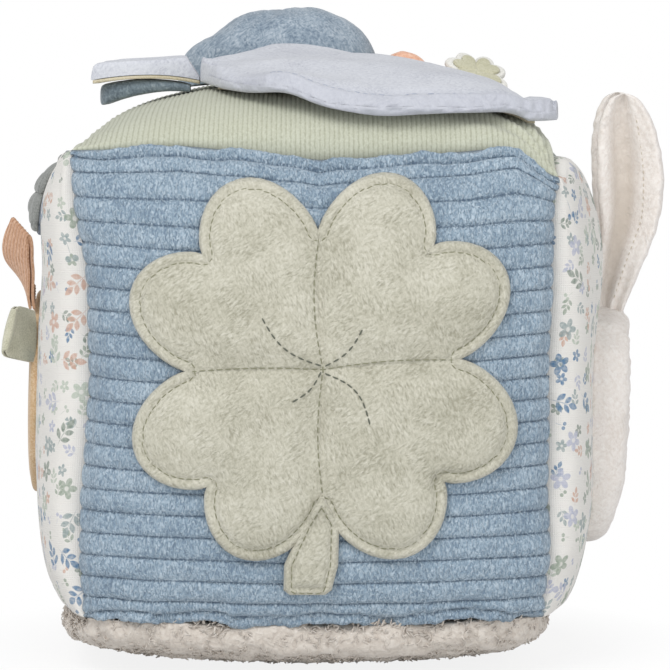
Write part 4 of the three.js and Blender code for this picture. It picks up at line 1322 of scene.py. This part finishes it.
def wing_form():
    w, t = np.meshgrid(eased(110), (eased(260) + 1) / 2)
    flat, bed, width = wing_place(t, w)
    pinch = hump(t, 0, 0.1)
    from_front, from_back = (w + 1) / 2 * width, (1 - w) / 2 * width
    front_roll = 3.4 * np.clip(t / 0.08, 0.3, 1) * (1 - round_over(from_front, 3.6))
    other_roll = 1.3 * (1 - round_over(np.minimum(from_back, (1.008 - t) * WING_LENGTH), 2.0))
    rolled = np.maximum(front_roll, other_roll)
    base = bed + 1.0 + 0.6 * pinch
    height = wing_height(t, w, flat, width) * (1 - 0.05 * pinch)
    roll = np.exp(-(from_front / (WING_SEAM + 0.6)) ** 4) * climb(t, 0.05, 0.2)
    top = over_top(flat, base + np.maximum(height, rolled + 0.05))
    under = over_top(flat, base + rolled)
    for face in (top, under):
        face[..., 1] -= roll * edge_fade(w, 2 * t - 1, 0.004) * (noise(face, 1.9, 63) - 0.35) * 1.5
    # The roll attribute darkens the pile of the rolled front edge: painted shade
    return slab("wing", top, under, lilac_velour, values={"roll": 0.6 * roll})


def wing_lining_form():
    w, t = np.meshgrid(eased(30) * 0.72 + 0.16, (eased(80) + 1) / 2 * 0.74 + 0.125)
    flat, bed, _ = wing_place(t, w)
    return slab("wing_lining_cloth", over_top(flat, bed + 0.9), over_top(flat, bed), beige_cotton)


def wing_seam():
    t = np.linspace(0.3, 0.955, 160)
    front, back = wing_edge(FRONT_EDGE, t), wing_edge(BACK_EDGE, t)
    width = np.linalg.norm(back - front, axis=-1)
    w = 2 * WING_SEAM / width - 1
    flat, bed, width = wing_place(t, w)
    return over_top(flat, bed + 1.05 + wing_height(t, w, flat, width))


wing = join("bird_wing_cloth", [wing_form(), sew("wing_stitches", [wing_seam()], lilac_thread)])
wing = settle(wing, "wing", "lilac_velour", "bird_wing")
settle(wing_lining_form(), "wing", "beige_cotton", "wing_lining")

# %% [markdown]
# Two tail feathers leave the gathered waist and stand out over the falling edge of the top. The
# upper one is a lilac flap on a beige lining, cut square at its end. The lower one is a slate
# lobe with a round end and a groove pressed along it. Its slate is darker than the body's blue
# partly in its own tone and partly as painted shade, for the upper one lies over it.

# %% The tail
TAIL_START, TAIL_ACROSS = -36.8, -20.0
TAIL_BASE = (float(top_height(np.array(TAIL_START), np.array(TAIL_ACROSS))) + LAY_GAP + 1.6
             + 0.3)
UPPER_LENGTH, UPPER_HALF = 32.5, 14.0
LOWER_LENGTH, LOWER_PADDED, LOWER_HALF = 28.8, 28.4, 11.0


def feather(w, t, start, length, half_width, base, droop):
    spread = 5 + (half_width - 5) * t ** 0.8
    curve = 0.8 - np.where(t < 0.45, 1.7 * (1 - t / 0.45) ** 2, 1.7 * ((t - 0.45) / 0.55) ** 2)
    return np.stack([start - length * t - 2 * t * w * w, TAIL_ACROSS + 8 * t + spread * w,
                     base + curve - droop * t * t + 0 * w], axis=-1)


def lifted(points, height):
    raised = points.copy()
    raised[..., 2] += height
    return raised


def feather_edge(w, t, length, half_width):
    return np.minimum((1 - np.abs(w)) * half_width, (1 - t) * length)


def upper_feather():
    w, t = np.meshgrid(eased(50), (eased(80) + 1) / 2)
    bed = feather(w, t, TAIL_START, UPPER_LENGTH, UPPER_HALF, TAIL_BASE, 0.0)
    edge = np.minimum(feather_edge(w, t, UPPER_LENGTH, UPPER_HALF), 50 * t + 0.35)
    full = 3.9 + 2.8 * hump(t, 0, 0.3) + 1.3 * t
    folds = bumps(bed * np.array([0.5, 1, 1]), 7.0, 71, 1.6) * round_over(edge, 4.0)
    thick = full * (0.45 + 0.55 * round_over(edge, 2.2)) * round_over(edge, 0.7) + folds
    # Its root slopes back, which leaves room for it to tip up beside the wing
    thick = np.minimum(thick, 0.9 + 1.35 * UPPER_LENGTH * t)
    lilac = slab("tail_top", lifted(bed, 1.3 + thick), lifted(bed, 1.25), lilac_velour)
    w, t = np.meshgrid(eased(24) * 0.985, (eased(40) + 1) / 2 * 0.985)
    bed = feather(w, t, TAIL_START, UPPER_LENGTH, UPPER_HALF, TAIL_BASE, 0.0)
    beige = slab("tail_lining_cloth", lifted(bed, 1.05), bed, beige_cotton)
    return lilac, beige


def lower_feather():
    w, t = np.meshgrid(eased(50), (eased(80) + 1) / 2)
    round_end = np.sqrt(np.clip(1 - (np.clip(t - 0.72, 0, 1) / 0.28) ** 2.6, 0, 1))
    bed = feather(w * (0.25 + 0.75 * round_end), t, TAIL_START - 3, LOWER_LENGTH, LOWER_HALF,
                  TAIL_BASE - 0.1, 0.4)
    edge = feather_edge(w, t, LOWER_PADDED, LOWER_HALF)
    full = 2.4 + 4.6 * t
    line = 0.7 * hump(w, 0, 0.12) * fall(t, 0.85, 0.05) * climb(t, 0, 0.1)
    thick = full * (0.35 + 0.65 * round_over(edge, 3.0)) + bumps(bed, 5.0, 73, 0.5)
    half = thick * round_over(edge, 1.2) / 2
    mid = lifted(bed, -full / 2 - 0.1)
    return slab("tail_lobe_cloth", lifted(mid, half - line * 0.5), lifted(mid, line * 0.5 - half),
                slate_velour_painted_shade)


tail_top, tail_lining = upper_feather()
tail_top = settle(tail_top, "tail", "lilac_velour", "tail_feather")
settle(tail_lining, "tail", "beige_cotton", "tail_lining")
tail_lobe = settle(lower_feather(), "tail", "blue_velour", "tail_lobe")

# %% [markdown]
# A felt clover tag hangs from the beak on a bit of ribbon. Felt is pressed and cut, so it is an
# even plate with a crisp edge: a white one, and a smaller green one stuck on it. It leans on
# the swelling panel, tipped up at its back, and two turns put it in its place.

# %% The clover tag
TAG_RADIUS, TAG_TILT, TAG_ROLL = 11.5, math.radians(35), math.radians(14)
TAG_NOTCH = TAG_RADIUS * 0.66
TAG_AT = np.array([52.6, 13.0, 185.5])


def tag_turned(points):
    roll = np.array([[math.cos(TAG_ROLL), 0, math.sin(TAG_ROLL)], [0, 1, 0],
                     [-math.sin(TAG_ROLL), 0, math.cos(TAG_ROLL)]])
    tilt = np.array([[1, 0, 0], [0, math.cos(TAG_TILT), -math.sin(TAG_TILT)],
                     [0, math.sin(TAG_TILT), math.cos(TAG_TILT)]])
    return points @ (tilt @ roll).T + TAG_AT


def tag_plate(name, inset, low, high, material, dimple):
    turn, share = round_grid(145, 16, 1.4)
    angle, reach = clover_edge(turn, TAG_NOTCH, TAG_RADIUS * 0.8, TAG_RADIUS * 0.24)
    away = share * (reach - inset)
    edge = (1 - share) * (reach - inset)
    rise = (high - low) * (0.4 + 0.6 * round_over(edge, 0.8))
    from_notch = np.min([np.abs(np.angle(np.exp(1j * (angle - start)))) for start in LEAF_STARTS],
                        axis=0)
    rise -= dimple * hump(from_notch * away, 0, 0.5) * climb(away, 0, 2)
    flat = np.stack([away * np.cos(angle), away * np.sin(angle), 0 * away], axis=-1)
    up = np.array([0.0, 0.0, 1.0])
    return slab(name, tag_turned(flat + up * (low + rise)[..., None]), tag_turned(flat + up * low),
                material, wrap=True)


settle(tag_plate("tag_white_felt", 0.0, 0.0, 1.6, white_felt, 0.0), "tag", "white_felt",
       "tag_back")
settle(tag_plate("tag_green_felt", 2.5, 1.65, 2.5, green_felt, 0.45), "tag", "green_felt",
       "tag_face")

# %% [markdown]
# Ribbons are sheets, so each is swept along a curve through a few points, with its width held
# in a steady direction that may turn a little on the way. The points are spaced evenly first,
# so that the weave comes out even. This grosgrain has ribs along its length, 2.2 mm apart.

# %% Ribbons
def spaced(points, count):
    """The smooth curve through some points, as evenly spaced points, and its length."""
    dense = through(points, np.linspace(0, 1, 600))
    steps = np.concatenate([[0], np.cumsum(np.linalg.norm(np.diff(dense, axis=0), axis=1))])
    even = np.linspace(0, steps[-1], count)
    return np.stack([np.interp(even, steps, dense[:, i]) for i in range(3)], axis=-1), steps[-1]


def ribbon(name, points, sideways, width, wall, material, rib_pitch=0.0, rib_height=0.0, bow=0.0):
    """Sideways is the direction of the width at the start, half way and at the end."""
    run, length = spaced(points, 160)
    across = through(np.asarray(sideways, float), np.linspace(0, 1, len(run)))
    across /= np.linalg.norm(across, axis=1, keepdims=True)
    face = np.cross(np.gradient(run, axis=0), across)
    face /= np.linalg.norm(face, axis=1, keepdims=True)
    side, step = np.meshgrid(eased(72), np.arange(len(run)))
    at_tip = hump(step / len(run), 0.5, 0.07)
    narrowed = side * (1 - 0.2 * at_tip * side ** 6)
    middle = run[step] + narrowed[..., None] * across[step] * width / 2
    middle += face[step] * (bow * (1 - side ** 2))[..., None]
    edge = (1 - np.abs(side)) * width / 2
    rib = 0.5 + 0.5 * np.cos(side * width / 2 / (rib_pitch or width) * 2 * math.pi)
    thick = wall / 2 * (0.45 + 0.55 * round_over(edge, 0.5)) + rib_height * rib
    off = face[step] * thick[..., None]
    return slab(name, middle + off, middle - off, material, values={"rib": rib}), length


peach_grosgrain = cord_cloth("peach grosgrain", "#ab7b5d", "#be9274", "#cda385", "#dbb79c",
                             tuft=0.5, relief=0.05)
TAG_RIBBON_WIDTH, TAG_RIBBON_WALL = 4.0, 0.9
tag_hold = tag_turned(np.array([-TAG_NOTCH - 0.8 - 2.2, 0.0, 0.8]))
ribbon_start = on_top(np.array(37.8), np.array(15.0), np.array(2.6))
ribbon_half = (ribbon_start + tag_hold) / 2 + np.array([0, 0, 0.6])
tag_ribbon, _ = ribbon("tag_ribbon_cloth", [ribbon_start, ribbon_half, tag_hold], [(0, 1, 0)] * 3,
                       TAG_RIBBON_WIDTH, TAG_RIBBON_WALL, peach_grosgrain)
settle(tag_ribbon, "cube", "peach_ribbon", "tag_ribbon")

# %% [markdown]
# On the right side lies a rabbit's head with two ears that stand up beside the cube. The head is
# a flat round cushion of sherpa, seen here from its edge. It has no face, because none is seen.

# %% The rabbit's head
HEAD = {"y": 0.0, "z": 74.0, "half_width": 36.0, "half_height": 39.5, "squareness": 2.6}
HEAD_HEIGHTS = [35, 45, 51, 67, 84, 104, 111]
HEAD_THICKNESS = [6.5, 7.4, 8.2, 9.7, 11.3, 11.5, 11.3]
RIM_POWER, RIM_FULLNESS = 20, 0.45


def head_stand(share, z):
    """How far the cushion stands off the panel, at a share of the way to its rim."""
    stand = np.interp(z, HEAD_HEIGHTS, HEAD_THICKNESS)
    return stand * np.clip(1 - share ** RIM_POWER, 0, 1) ** RIM_FULLNESS


def head_form():
    turn, share = round_grid(321, 70, 1.5)
    across, up = np.cos(turn), np.sin(turn)
    power = HEAD["squareness"]
    squared = (np.abs(across) ** power + np.abs(up) ** power) ** (1 / power)
    y = HEAD["y"] + share * HEAD["half_width"] * across / squared
    z = HEAD["z"] + share * HEAD["half_height"] * up / squared
    edge = (1 - share) * HEAD["half_width"]
    place = np.stack([0 * y, y, z], axis=-1)
    lumps = bumps(place, 15.0, 81, 1.8) + bumps(place, 5.0, 82, 1.0)
    out = head_stand(share, z)
    out += lumps * round_over(edge, 5.0)
    out += bumps(place, 2.2, 83, 0.9) * round_over(edge, 2.0)
    ragged = 1 + bumps(place, 3.0, 84, 0.035) * share ** 4
    y, z = HEAD["y"] + (y - HEAD["y"]) * ragged, HEAD["z"] + (z - HEAD["z"]) * ragged
    return slab("rabbit_head_cloth", on_right(y, z, 0.4 + np.maximum(out, 0)),
                on_right(y, z, -0.9 + 0 * y), cream_sherpa, wrap=True)


head = head_form()
head = settle(head, "cube", "cream_velour", "rabbit_head")

# %% [markdown]
# An ear is two cloths with thin padding between them, gathered where it meets the head, so it
# is cupped along its length. Its root is tucked into the head's seam, down to the place that it
# bends about. A hollow runs up its face, and one edge is turned over it as a broad soft lip. The
# hollow's pile is coloured darker the deeper it is, as painted shade. Both ears are the same,
# apart from their folds. Their sherpa is lumpy, so the lumps are in the mesh and show in the
# outline too.

# %% The ears
EAR_TOP, EAR_GAP, EAR_CUP = 180.3, 0.35, 5.0
EAR_ROOT_X = float(side_reach(np.array(0.0), np.array(111.0))) + 2.35
EAR_TUCKED = 1 / 6
EAR_INNER = [(0.8, -0.105), (0.4, 0), (0.6, 0.18), (0.4, 0.4), (-0.5, 0.62), (0.0, 0.84),
             (3.0, 0.965), (7.0, 1)]
EAR_OUTER = [(7.0, -0.105), (8.4, 0), (13.6, 0.18), (19.4, 0.4), (21.0, 0.62), (18.2, 0.84),
             (13.6, 0.965), (9.6, 1)]


def head_slope(x, y):
    """How high the head's rim is at a distance out, where an ear's root meets it."""
    base = side_reach(y, np.full_like(y, 108.0)) + fuller_right(y, np.full_like(y, 108.0))
    filled = np.clip((x - base) / HEAD_THICKNESS[-1], 0, 0.95)
    share = (1 - filled ** (1 / RIM_FULLNESS)) ** (1 / RIM_POWER)
    aside = np.clip(np.abs(y - HEAD["y"]) / HEAD["half_width"], 0, 0.6)
    power = HEAD["squareness"]
    return HEAD["z"] + HEAD["half_height"] * (share ** power - aside ** power) ** (1 / power)


def ear_edges(t):
    """Its two edges at a share of its length. The part tucked into the head has shares below 0."""
    share = (t + EAR_TUCKED) / (1 + EAR_TUCKED)
    return through(EAR_INNER, share), through(EAR_OUTER, share)


def ear_point(t, w, face, y):
    """A point of the ear: shares of its length and width, and how far off its middle it is."""
    inner, outer = ear_edges(t)
    flat = inner + (outer - inner) * ((w + 1) / 2)[..., None]
    x = EAR_ROOT_X + flat[..., 0]
    cup = EAR_CUP * (1 - w * w) * arch(0.12 + 0.8 * t)
    across = y + cup - face
    root = head_slope(x[:1] + 0 * x[:1], across[:1]) + EAR_GAP
    return np.stack([x, across, root + (EAR_TOP - root) * flat[..., 1]], axis=-1)


def lip_line(t):
    """Across the ear, where its lip starts: it runs in towards the cube near the root."""
    return 0.14 - 1.3 * np.clip(0.35 - t, 0, 0.35)


def ear_body(t, w):
    """Half the ear's thickness, and how its face stands: a hollow, and a broad lip beside it."""
    half = 0.6 + 3.4 * np.sqrt(np.clip(1 - w ** 4, 0, 1)) * arch(0.25 + 0.72 * t, 0.5)
    up = arch(0.06 + 0.94 * t, 0.8)
    lip = 1 / (1 + np.exp(-(w - lip_line(t)) / 0.07))
    left_band = 1 / (1 + np.exp((w - lip_line(t) + 0.66) / 0.07))
    return half, (2.4 * lip + 0.3 * left_band - 3.4 * (1 - lip) * (1 - left_band)) * up


def ear_form(name, y, seed):
    w, t = np.meshgrid(eased(90), (eased(240) + 1) / 2 * (1 + EAR_TUCKED) - EAR_TUCKED)
    plain = ear_point(t, w, 0 * t, y)
    inner, outer = ear_edges(t)
    width = np.abs(outer[..., 0] - inner[..., 0])
    edge = np.minimum((1 - np.abs(w)) * width / 2,
                      np.minimum(t + EAR_TUCKED + 0.02, 1.02 - t) * 70)
    half, stand = ear_body(t, w)
    # Painted shade: the deeper the hollow, the darker its pile, less so towards the tip
    hollow = np.clip(-stand / 3.0, 0, 1) * (0.45 + 0.55 * fall(t, 0.75, 0.4))
    drift = 2.0 * (noise(plain, 25.0, seed) - 0.5)
    folds = np.cos(w * 6.5 + drift) * np.exp(-np.clip(t, 0, 1) / 0.3)
    soft = bumps(plain * np.array([1, 1, 0.35]), 7.0, seed + 1, 1.3)
    lumps = bumps(plain, 3.6, seed + 2, 0.7) + bumps(plain, 1.6, seed + 3, 0.5)
    thinned = 0.25 + 0.75 * round_over(edge, 2.2)
    face = (half + stand + folds + soft) * thinned + lumps * round_over(edge, 1.0)
    back = -(half + 0.6 * soft - 0.35 * stand) * thinned + lumps * 0.7
    face = np.maximum(face, back + 0.5)
    ragged = w * (1 + bumps(plain, 2.2, seed + 4, 0.06) * climb(t, 0, 0.15))
    return slab(name, ear_point(t, ragged, face, y), ear_point(t, ragged, back, y), cream_sherpa,
                values={"hollow": hollow}, inner_share=0.0)


def ear_seam(y):
    t = np.linspace(0.06, 0.7, 110)
    w = lip_line(t) + 0.24
    half, stand = ear_body(t, w)
    flat_t, flat_w = t[:, None], w[:, None]
    return ear_point(flat_t, flat_w, (half + stand + 0.25)[:, None], y)[:, 0]


def whole_ear(name, y, seed, body, *nodes):
    form = ear_form(name + "_form", y, seed)
    stitches = sew(name + "_stitches", [ear_seam(y)], cream_thread, pitch=2.0, shown=1.2,
                   radius=0.18)
    return settle(join(name + "_cloth", [form, stitches]), body, "cream_velour", *nodes)


front_ear = whole_ear("front_ear", -13.0, 91, "front_ear_body", "front_ear", "front_ear_lining")
back_ear = whole_ear("back_ear", 13.0, 95, "back_ear_body", "back_ear", "back_ear_lining")

# %% [markdown]
# On the left side is a round of tan felt with two folded ribbons tucked under its rim, and a
# felt flower above it. A folded ribbon is one strip that leaves the rim, turns at its tip and
# comes back over itself.

# %% The felt disc
DISC = {"y": 5.0, "z": 83.0, "radius": 33.0}


def disc_form():
    turn, share = round_grid(145, 26, 1.5)
    y = DISC["y"] + share * DISC["radius"] * np.cos(turn)
    z = DISC["z"] + share * DISC["radius"] * np.sin(turn)
    edge = (1 - share) * DISC["radius"]
    out = 0.4 + 1.0 * (0.4 + 0.6 * round_over(edge, 0.8))
    out += 1.2 * np.clip(1 - share ** 8, 0, 1) ** 0.5
    out -= 0.4 * hump(edge, 2.5, 0.6)
    return slab("side_disc_felt", on_left(y, z, out), on_left(y, z, -1.0 + 0 * y), tan_felt,
                wrap=True)


disc = settle(disc_form(), "cube", "tan_felt", "side_disc")

# %% [markdown]
# Each fold leaves the disc's rim with its lower ply, and the upper ply comes back over it. The
# points that it is swept through lie off the panel by the rises that are listed with it.

# %% The folded ribbons
def folded_run(bearing, lean, length, bends, ply):
    """Out from the disc's rim, round the tip and back: bends are shares of the way and rises."""
    start = math.radians(bearing)
    root = np.array([DISC["y"] + DISC["radius"] * math.cos(start),
                     DISC["z"] + DISC["radius"] * math.sin(start)])
    way = np.array([math.cos(math.radians(lean)), math.sin(math.radians(lean))])

    def along(distance, out):
        y, z = root + way * distance
        return on_left(np.array(y), np.array(z), 0.4 + out)

    low, high = [], []
    for share, rise in bends:
        opened = ply * (1 + 0.25 * math.sin(math.pi * share))
        low.append(along(1.1 + share * length, rise + ply - opened + 0.8))
        high.append(along(1.1 + share * length, rise + ply + opened + 0.8))
    end_share, end_rise = bends[-1]
    tip = along(1.1 + end_share * length + 1.8, end_rise + ply + 0.8)
    return low + [tip] + high[::-1]


PEACH_WIDTH, SAGE_WIDTH = 17.5, 17.0
peach_run = folded_run(113, 108, 25.0, [(0, 1.0), (0.3, 4.6), (0.6, 6.4), (0.9, 5.6)], 0.6)
peach_loop, peach_length = ribbon("peach_ribbon_cloth", peach_run, [
    (0.05, -0.93, -0.36), (0.5, -0.84, -0.2), (0.42, -0.83, -0.37), (0.5, -0.84, -0.2),
    (0.05, -0.93, -0.36)], PEACH_WIDTH, 0.6, peach_grosgrain, 2.2, 0.24)
sage_run = folded_run(143.5, 166, 12.5, [(0, 0.1), (0.4, 3.4), (0.85, 7.2)], 0.6)
sage_loop, sage_length = ribbon("sage_ribbon_cloth", sage_run, [
    (0, -0.3, -0.954), (-0.2, -0.32, -0.93), (0, -0.3, -0.954)], SAGE_WIDTH, 0.7, sage_velvet,
    bow=0.7)
peach_loop = settle(peach_loop, "peach_fold", "peach_ribbon", "peach_ribbon")
sage_loop = settle(sage_loop, "sage_fold", "sage_velvet", "sage_ribbon")
print("ribbons:", round(peach_length), "mm of grosgrain and", round(sage_length), "mm of velvet")

# %% [markdown]
# The flower is two plates of felt cut to six petals: a slate one, whose edge shows, and a grey
# one on it whose petals are puffed up. Both are dark partly in their own tone and partly as
# painted shade, for the flower is seen edge-on in shade.

# %% The felt flower
FLOWER = {"y": -34.0, "z": 149.4, "radius": 13.4}


def petal_edge(turn, inset):
    return (FLOWER["radius"] - inset) * (0.78 + 0.22 * np.abs(np.sin(3 * turn)) ** 0.6)


def flower_plate(name, inset, low, high, puff, material):
    turn, share = round_grid(241, 30, 1.5)
    reach = petal_edge(turn, inset)
    away = share * reach
    edge = (1 - share) * reach
    y = FLOWER["y"] + away * np.cos(turn)
    z = FLOWER["z"] + away * np.sin(turn)
    petal = np.abs(np.sin(3 * turn)) ** 0.5 * arch(share, 0.8)
    rise = low + (high - low) * (0.35 + 0.65 * round_over(edge, 0.9)) + puff * petal
    rise -= 0.5 * puff * hump(edge, 2.0, 0.5)
    # It is sewn down in its middle, and the petals at the back stand off the panel
    lift = 0.13 * np.clip(y - FLOWER["y"] + 2, 0, None) ** 1.1
    under = low + lift if puff else np.maximum(-0.8, lift - 0.4)
    return slab(name, on_left(y, z, rise + lift), on_left(y, z, under), material, wrap=True)


settle(flower_plate("flower_edge_felt", 0.0, 0.2, 1.2, 0.0, slate_felt_painted_shade), "cube", "white_felt",
       "flower_back")
settle(flower_plate("flower_grey_felt", 1.1, 1.3, 2.6, 1.7, grey_felt), "cube", "grey_felt",
       "flower_petals")

# %% [markdown]
# Inside the cube are pieces that nobody sees: two layers of stuffing, and a rattle, which is two
# clear cups with beads in them. Each gets a material, and all but the lower stuffing keep the
# model's own shapes.

# %% Stuffing, rattle and beads
polyester_fibre = pile_cloth("polyester fibre", "#d8d6d0", "#e9e8e4", "#f5f4f1", tuft=2.5,
                             relief=1.2, patch=30.0, curl=1.5)


def plastic(name, code, finish):
    material, tree = new_material(name)
    surface = put(tree, "ShaderNodeBsdfPrincipled", {"Base Color": dye(code), **finish})
    put(tree, "ShaderNodeOutputMaterial", {"Surface": surface.outputs["BSDF"]})
    return material


clear_plastic = plastic("clear plastic", "#e6edf0", {
    "Roughness": 0.08, "IOR": 1.49, "Transmission Weight": 0.85})
bead_plastic = plastic("bead plastic", "#c9a06a", {"Roughness": 0.3, "Specular IOR Level": 0.5})
INSIDE = {
    "upper_stuffing": (polyester_fibre, "polyester_fibre"),
    "rattle_lower_shell": (clear_plastic, "clear_plastic"),
    "rattle_upper_shell": (clear_plastic, "clear_plastic"),
    "rattle_bead_1": (bead_plastic, "bead_plastic"),
    "rattle_bead_2": (bead_plastic, "bead_plastic"),
    "rattle_bead_3": (bead_plastic, "bead_plastic"),
}
for node, (material, slot) in INSIDE.items():
    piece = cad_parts[node]
    for part in piece.material_slots:
        part.link = "OBJECT"
        part.material = material
print("inside:", ", ".join(INSIDE))


FIBRE_GAP = 0.8
RIGHT_END_ROOM = 9.0
NARROWING = 0.03


def lower_fibre():
    """The model's lower stuffing, pressed up where the domed fleece leaves less room, and drawn
    in at the foot, most of all at its right end."""
    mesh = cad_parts["lower_stuffing"].data.copy()
    form = bmesh.new()
    form.from_mesh(mesh)
    bmesh.ops.remove_doubles(form, verts=form.verts, dist=1e-6)
    form.to_mesh(mesh)
    form.free()
    places = np.empty(len(mesh.vertices) * 3)
    mesh.vertices.foreach_get("co", places)
    places = places.reshape(-1, 3) / MM
    lowest = foot_height(places[:, 0], places[:, 1]) + WALL + FIBRE_GAP
    low = places[:, 2] < FLOOR_TO_SEAM - 1
    places[low, 2] = np.maximum(places[low, 2], lowest[low])
    in_foot = fall(places[:, 2], FLOOR_TO_SEAM + 6, 6)
    places[:, 0] -= RIGHT_END_ROOM * in_foot * climb(places[:, 0], 35, 42) ** 1.5
    places[:, :2] *= 1 - NARROWING * in_foot[:, None]
    mesh.vertices.foreach_set("co", (places * MM).ravel())
    mesh.materials.clear()
    mesh.materials.append(polyester_fibre)
    return add_object("lower_fibre", mesh)


settle(lower_fibre(), "cube", "polyester_fibre", "lower_stuffing")

# %% [markdown]
# Among the pieces above are 16 stuffed pieces and 2 folded ribbons.

# %% Stuffed pieces and sheets
print("16 stuffed pieces and 2 folded ribbons")

# %% [markdown]
# The stage is a pale floor under soft light. The floor is white to the camera, but near the
# cube part of that white is lit rather than glowing, so the cube's shadow still falls on it.

# %% Floor
FLOOR_SIZE = 60.0
# The share of the floor's white that glows, and the distances from the middle, in metres,
# between which it grows to the whole
NEAR_GLOW, NEAR_END, FAR_START = 0.86, 0.085, 0.13


def seen_directly(tree):
    """1 for the camera, and for what it sees in a mirror or through something clear."""
    ray = put(tree, "ShaderNodeLightPath").outputs
    seen = maths(tree, "MAXIMUM", ray["Is Camera Ray"], ray["Is Glossy Ray"])
    return maths(tree, "MAXIMUM", seen, ray["Is Transmission Ray"])


bpy.ops.mesh.primitive_plane_add(size=FLOOR_SIZE, location=(0, 0, 0))
floor = bpy.context.object
floor.name = "floor"
floor_paint, floor_tree = new_material("pale floor")
from_middle = vector_maths(floor_tree, "LENGTH", place_on(floor_tree))
far = ranged(floor_tree, from_middle, NEAR_END, FAR_START, NEAR_GLOW, 1.0)
glow_share = maths(floor_tree, "MULTIPLY", far, seen_directly(floor_tree))
pale = put(floor_tree, "ShaderNodeBsdfDiffuse", {"Color": dye("#f4f4f4")})
white = put(floor_tree, "ShaderNodeEmission", {"Color": dye("#ffffff"), "Strength": 1.0})
floor_mix = put(floor_tree, "ShaderNodeMixShader", {0: glow_share, 1: pale.outputs[0],
                                                    2: white.outputs[0]})
put(floor_tree, "ShaderNodeOutputMaterial", {"Surface": floor_mix.outputs[0]})
floor.data.materials.append(floor_paint)

# %% [markdown]
# The backdrop is white to the camera and a little dimmer as a light. Two square softboxes stand
# in front of the cube: a strong one high on the left, and a weak one low on the right.

# %% Backdrop and lamps
SKY_STRENGTH = 0.58
world = bpy.data.worlds.new("studio")
bpy.context.scene.world = world
world.use_nodes = True
sky_tree = world.node_tree
sky_tree.nodes.clear()
soft = put(sky_tree, "ShaderNodeBackground", {"Color": dye("#f4f6f8"), "Strength": SKY_STRENGTH})
bright = put(sky_tree, "ShaderNodeBackground", {"Color": dye("#ffffff"), "Strength": 1.0})
sky = put(sky_tree, "ShaderNodeMixShader", {0: seen_directly(sky_tree), 1: soft.outputs[0],
                                            2: bright.outputs[0]})
put(sky_tree, "ShaderNodeOutputWorld", {"Surface": sky.outputs[0]})


def aim(thing, place, target):
    thing.location = place
    way = Vector(target) - Vector(place)
    thing.rotation_euler = way.to_track_quat("-Z", "Y").to_euler()


LIT_POINT = (0.0, 0.0, 0.09)


def softbox(name, place, size, power):
    lamp = bpy.data.lights.new(name, "AREA")
    lamp.shape = "SQUARE"
    lamp.size = size
    lamp.energy = power
    aim(add_object(name, lamp), place, LIT_POINT)


softbox("key_light", (-0.6, -1.2, 1.3), size=0.8, power=15.5)
softbox("fill_light", (0.8, -1.2, 0.45), size=0.9, power=5.0)
print("lamps: a key from the upper left and a weaker fill from the right")

# %% [markdown]
# The photo was taken from a little above, straight on, with a long lens. The camera stands
# 1.4 m away, which keeps the sides of the cube almost square to the picture.

# %% Camera
CAMERA_AT, CAMERA_LOOKS_AT = (0.0, -1.3947, 0.207), (0.0065, 0.0, 0.1016)
lens = bpy.data.cameras.new("camera")
lens.lens = 230.7
lens.sensor_width = 36.0
camera = add_object("camera", lens)
aim(camera, CAMERA_AT, CAMERA_LOOKS_AT)
bpy.context.scene.camera = camera
bpy.context.scene.view_settings.view_transform = "Standard"
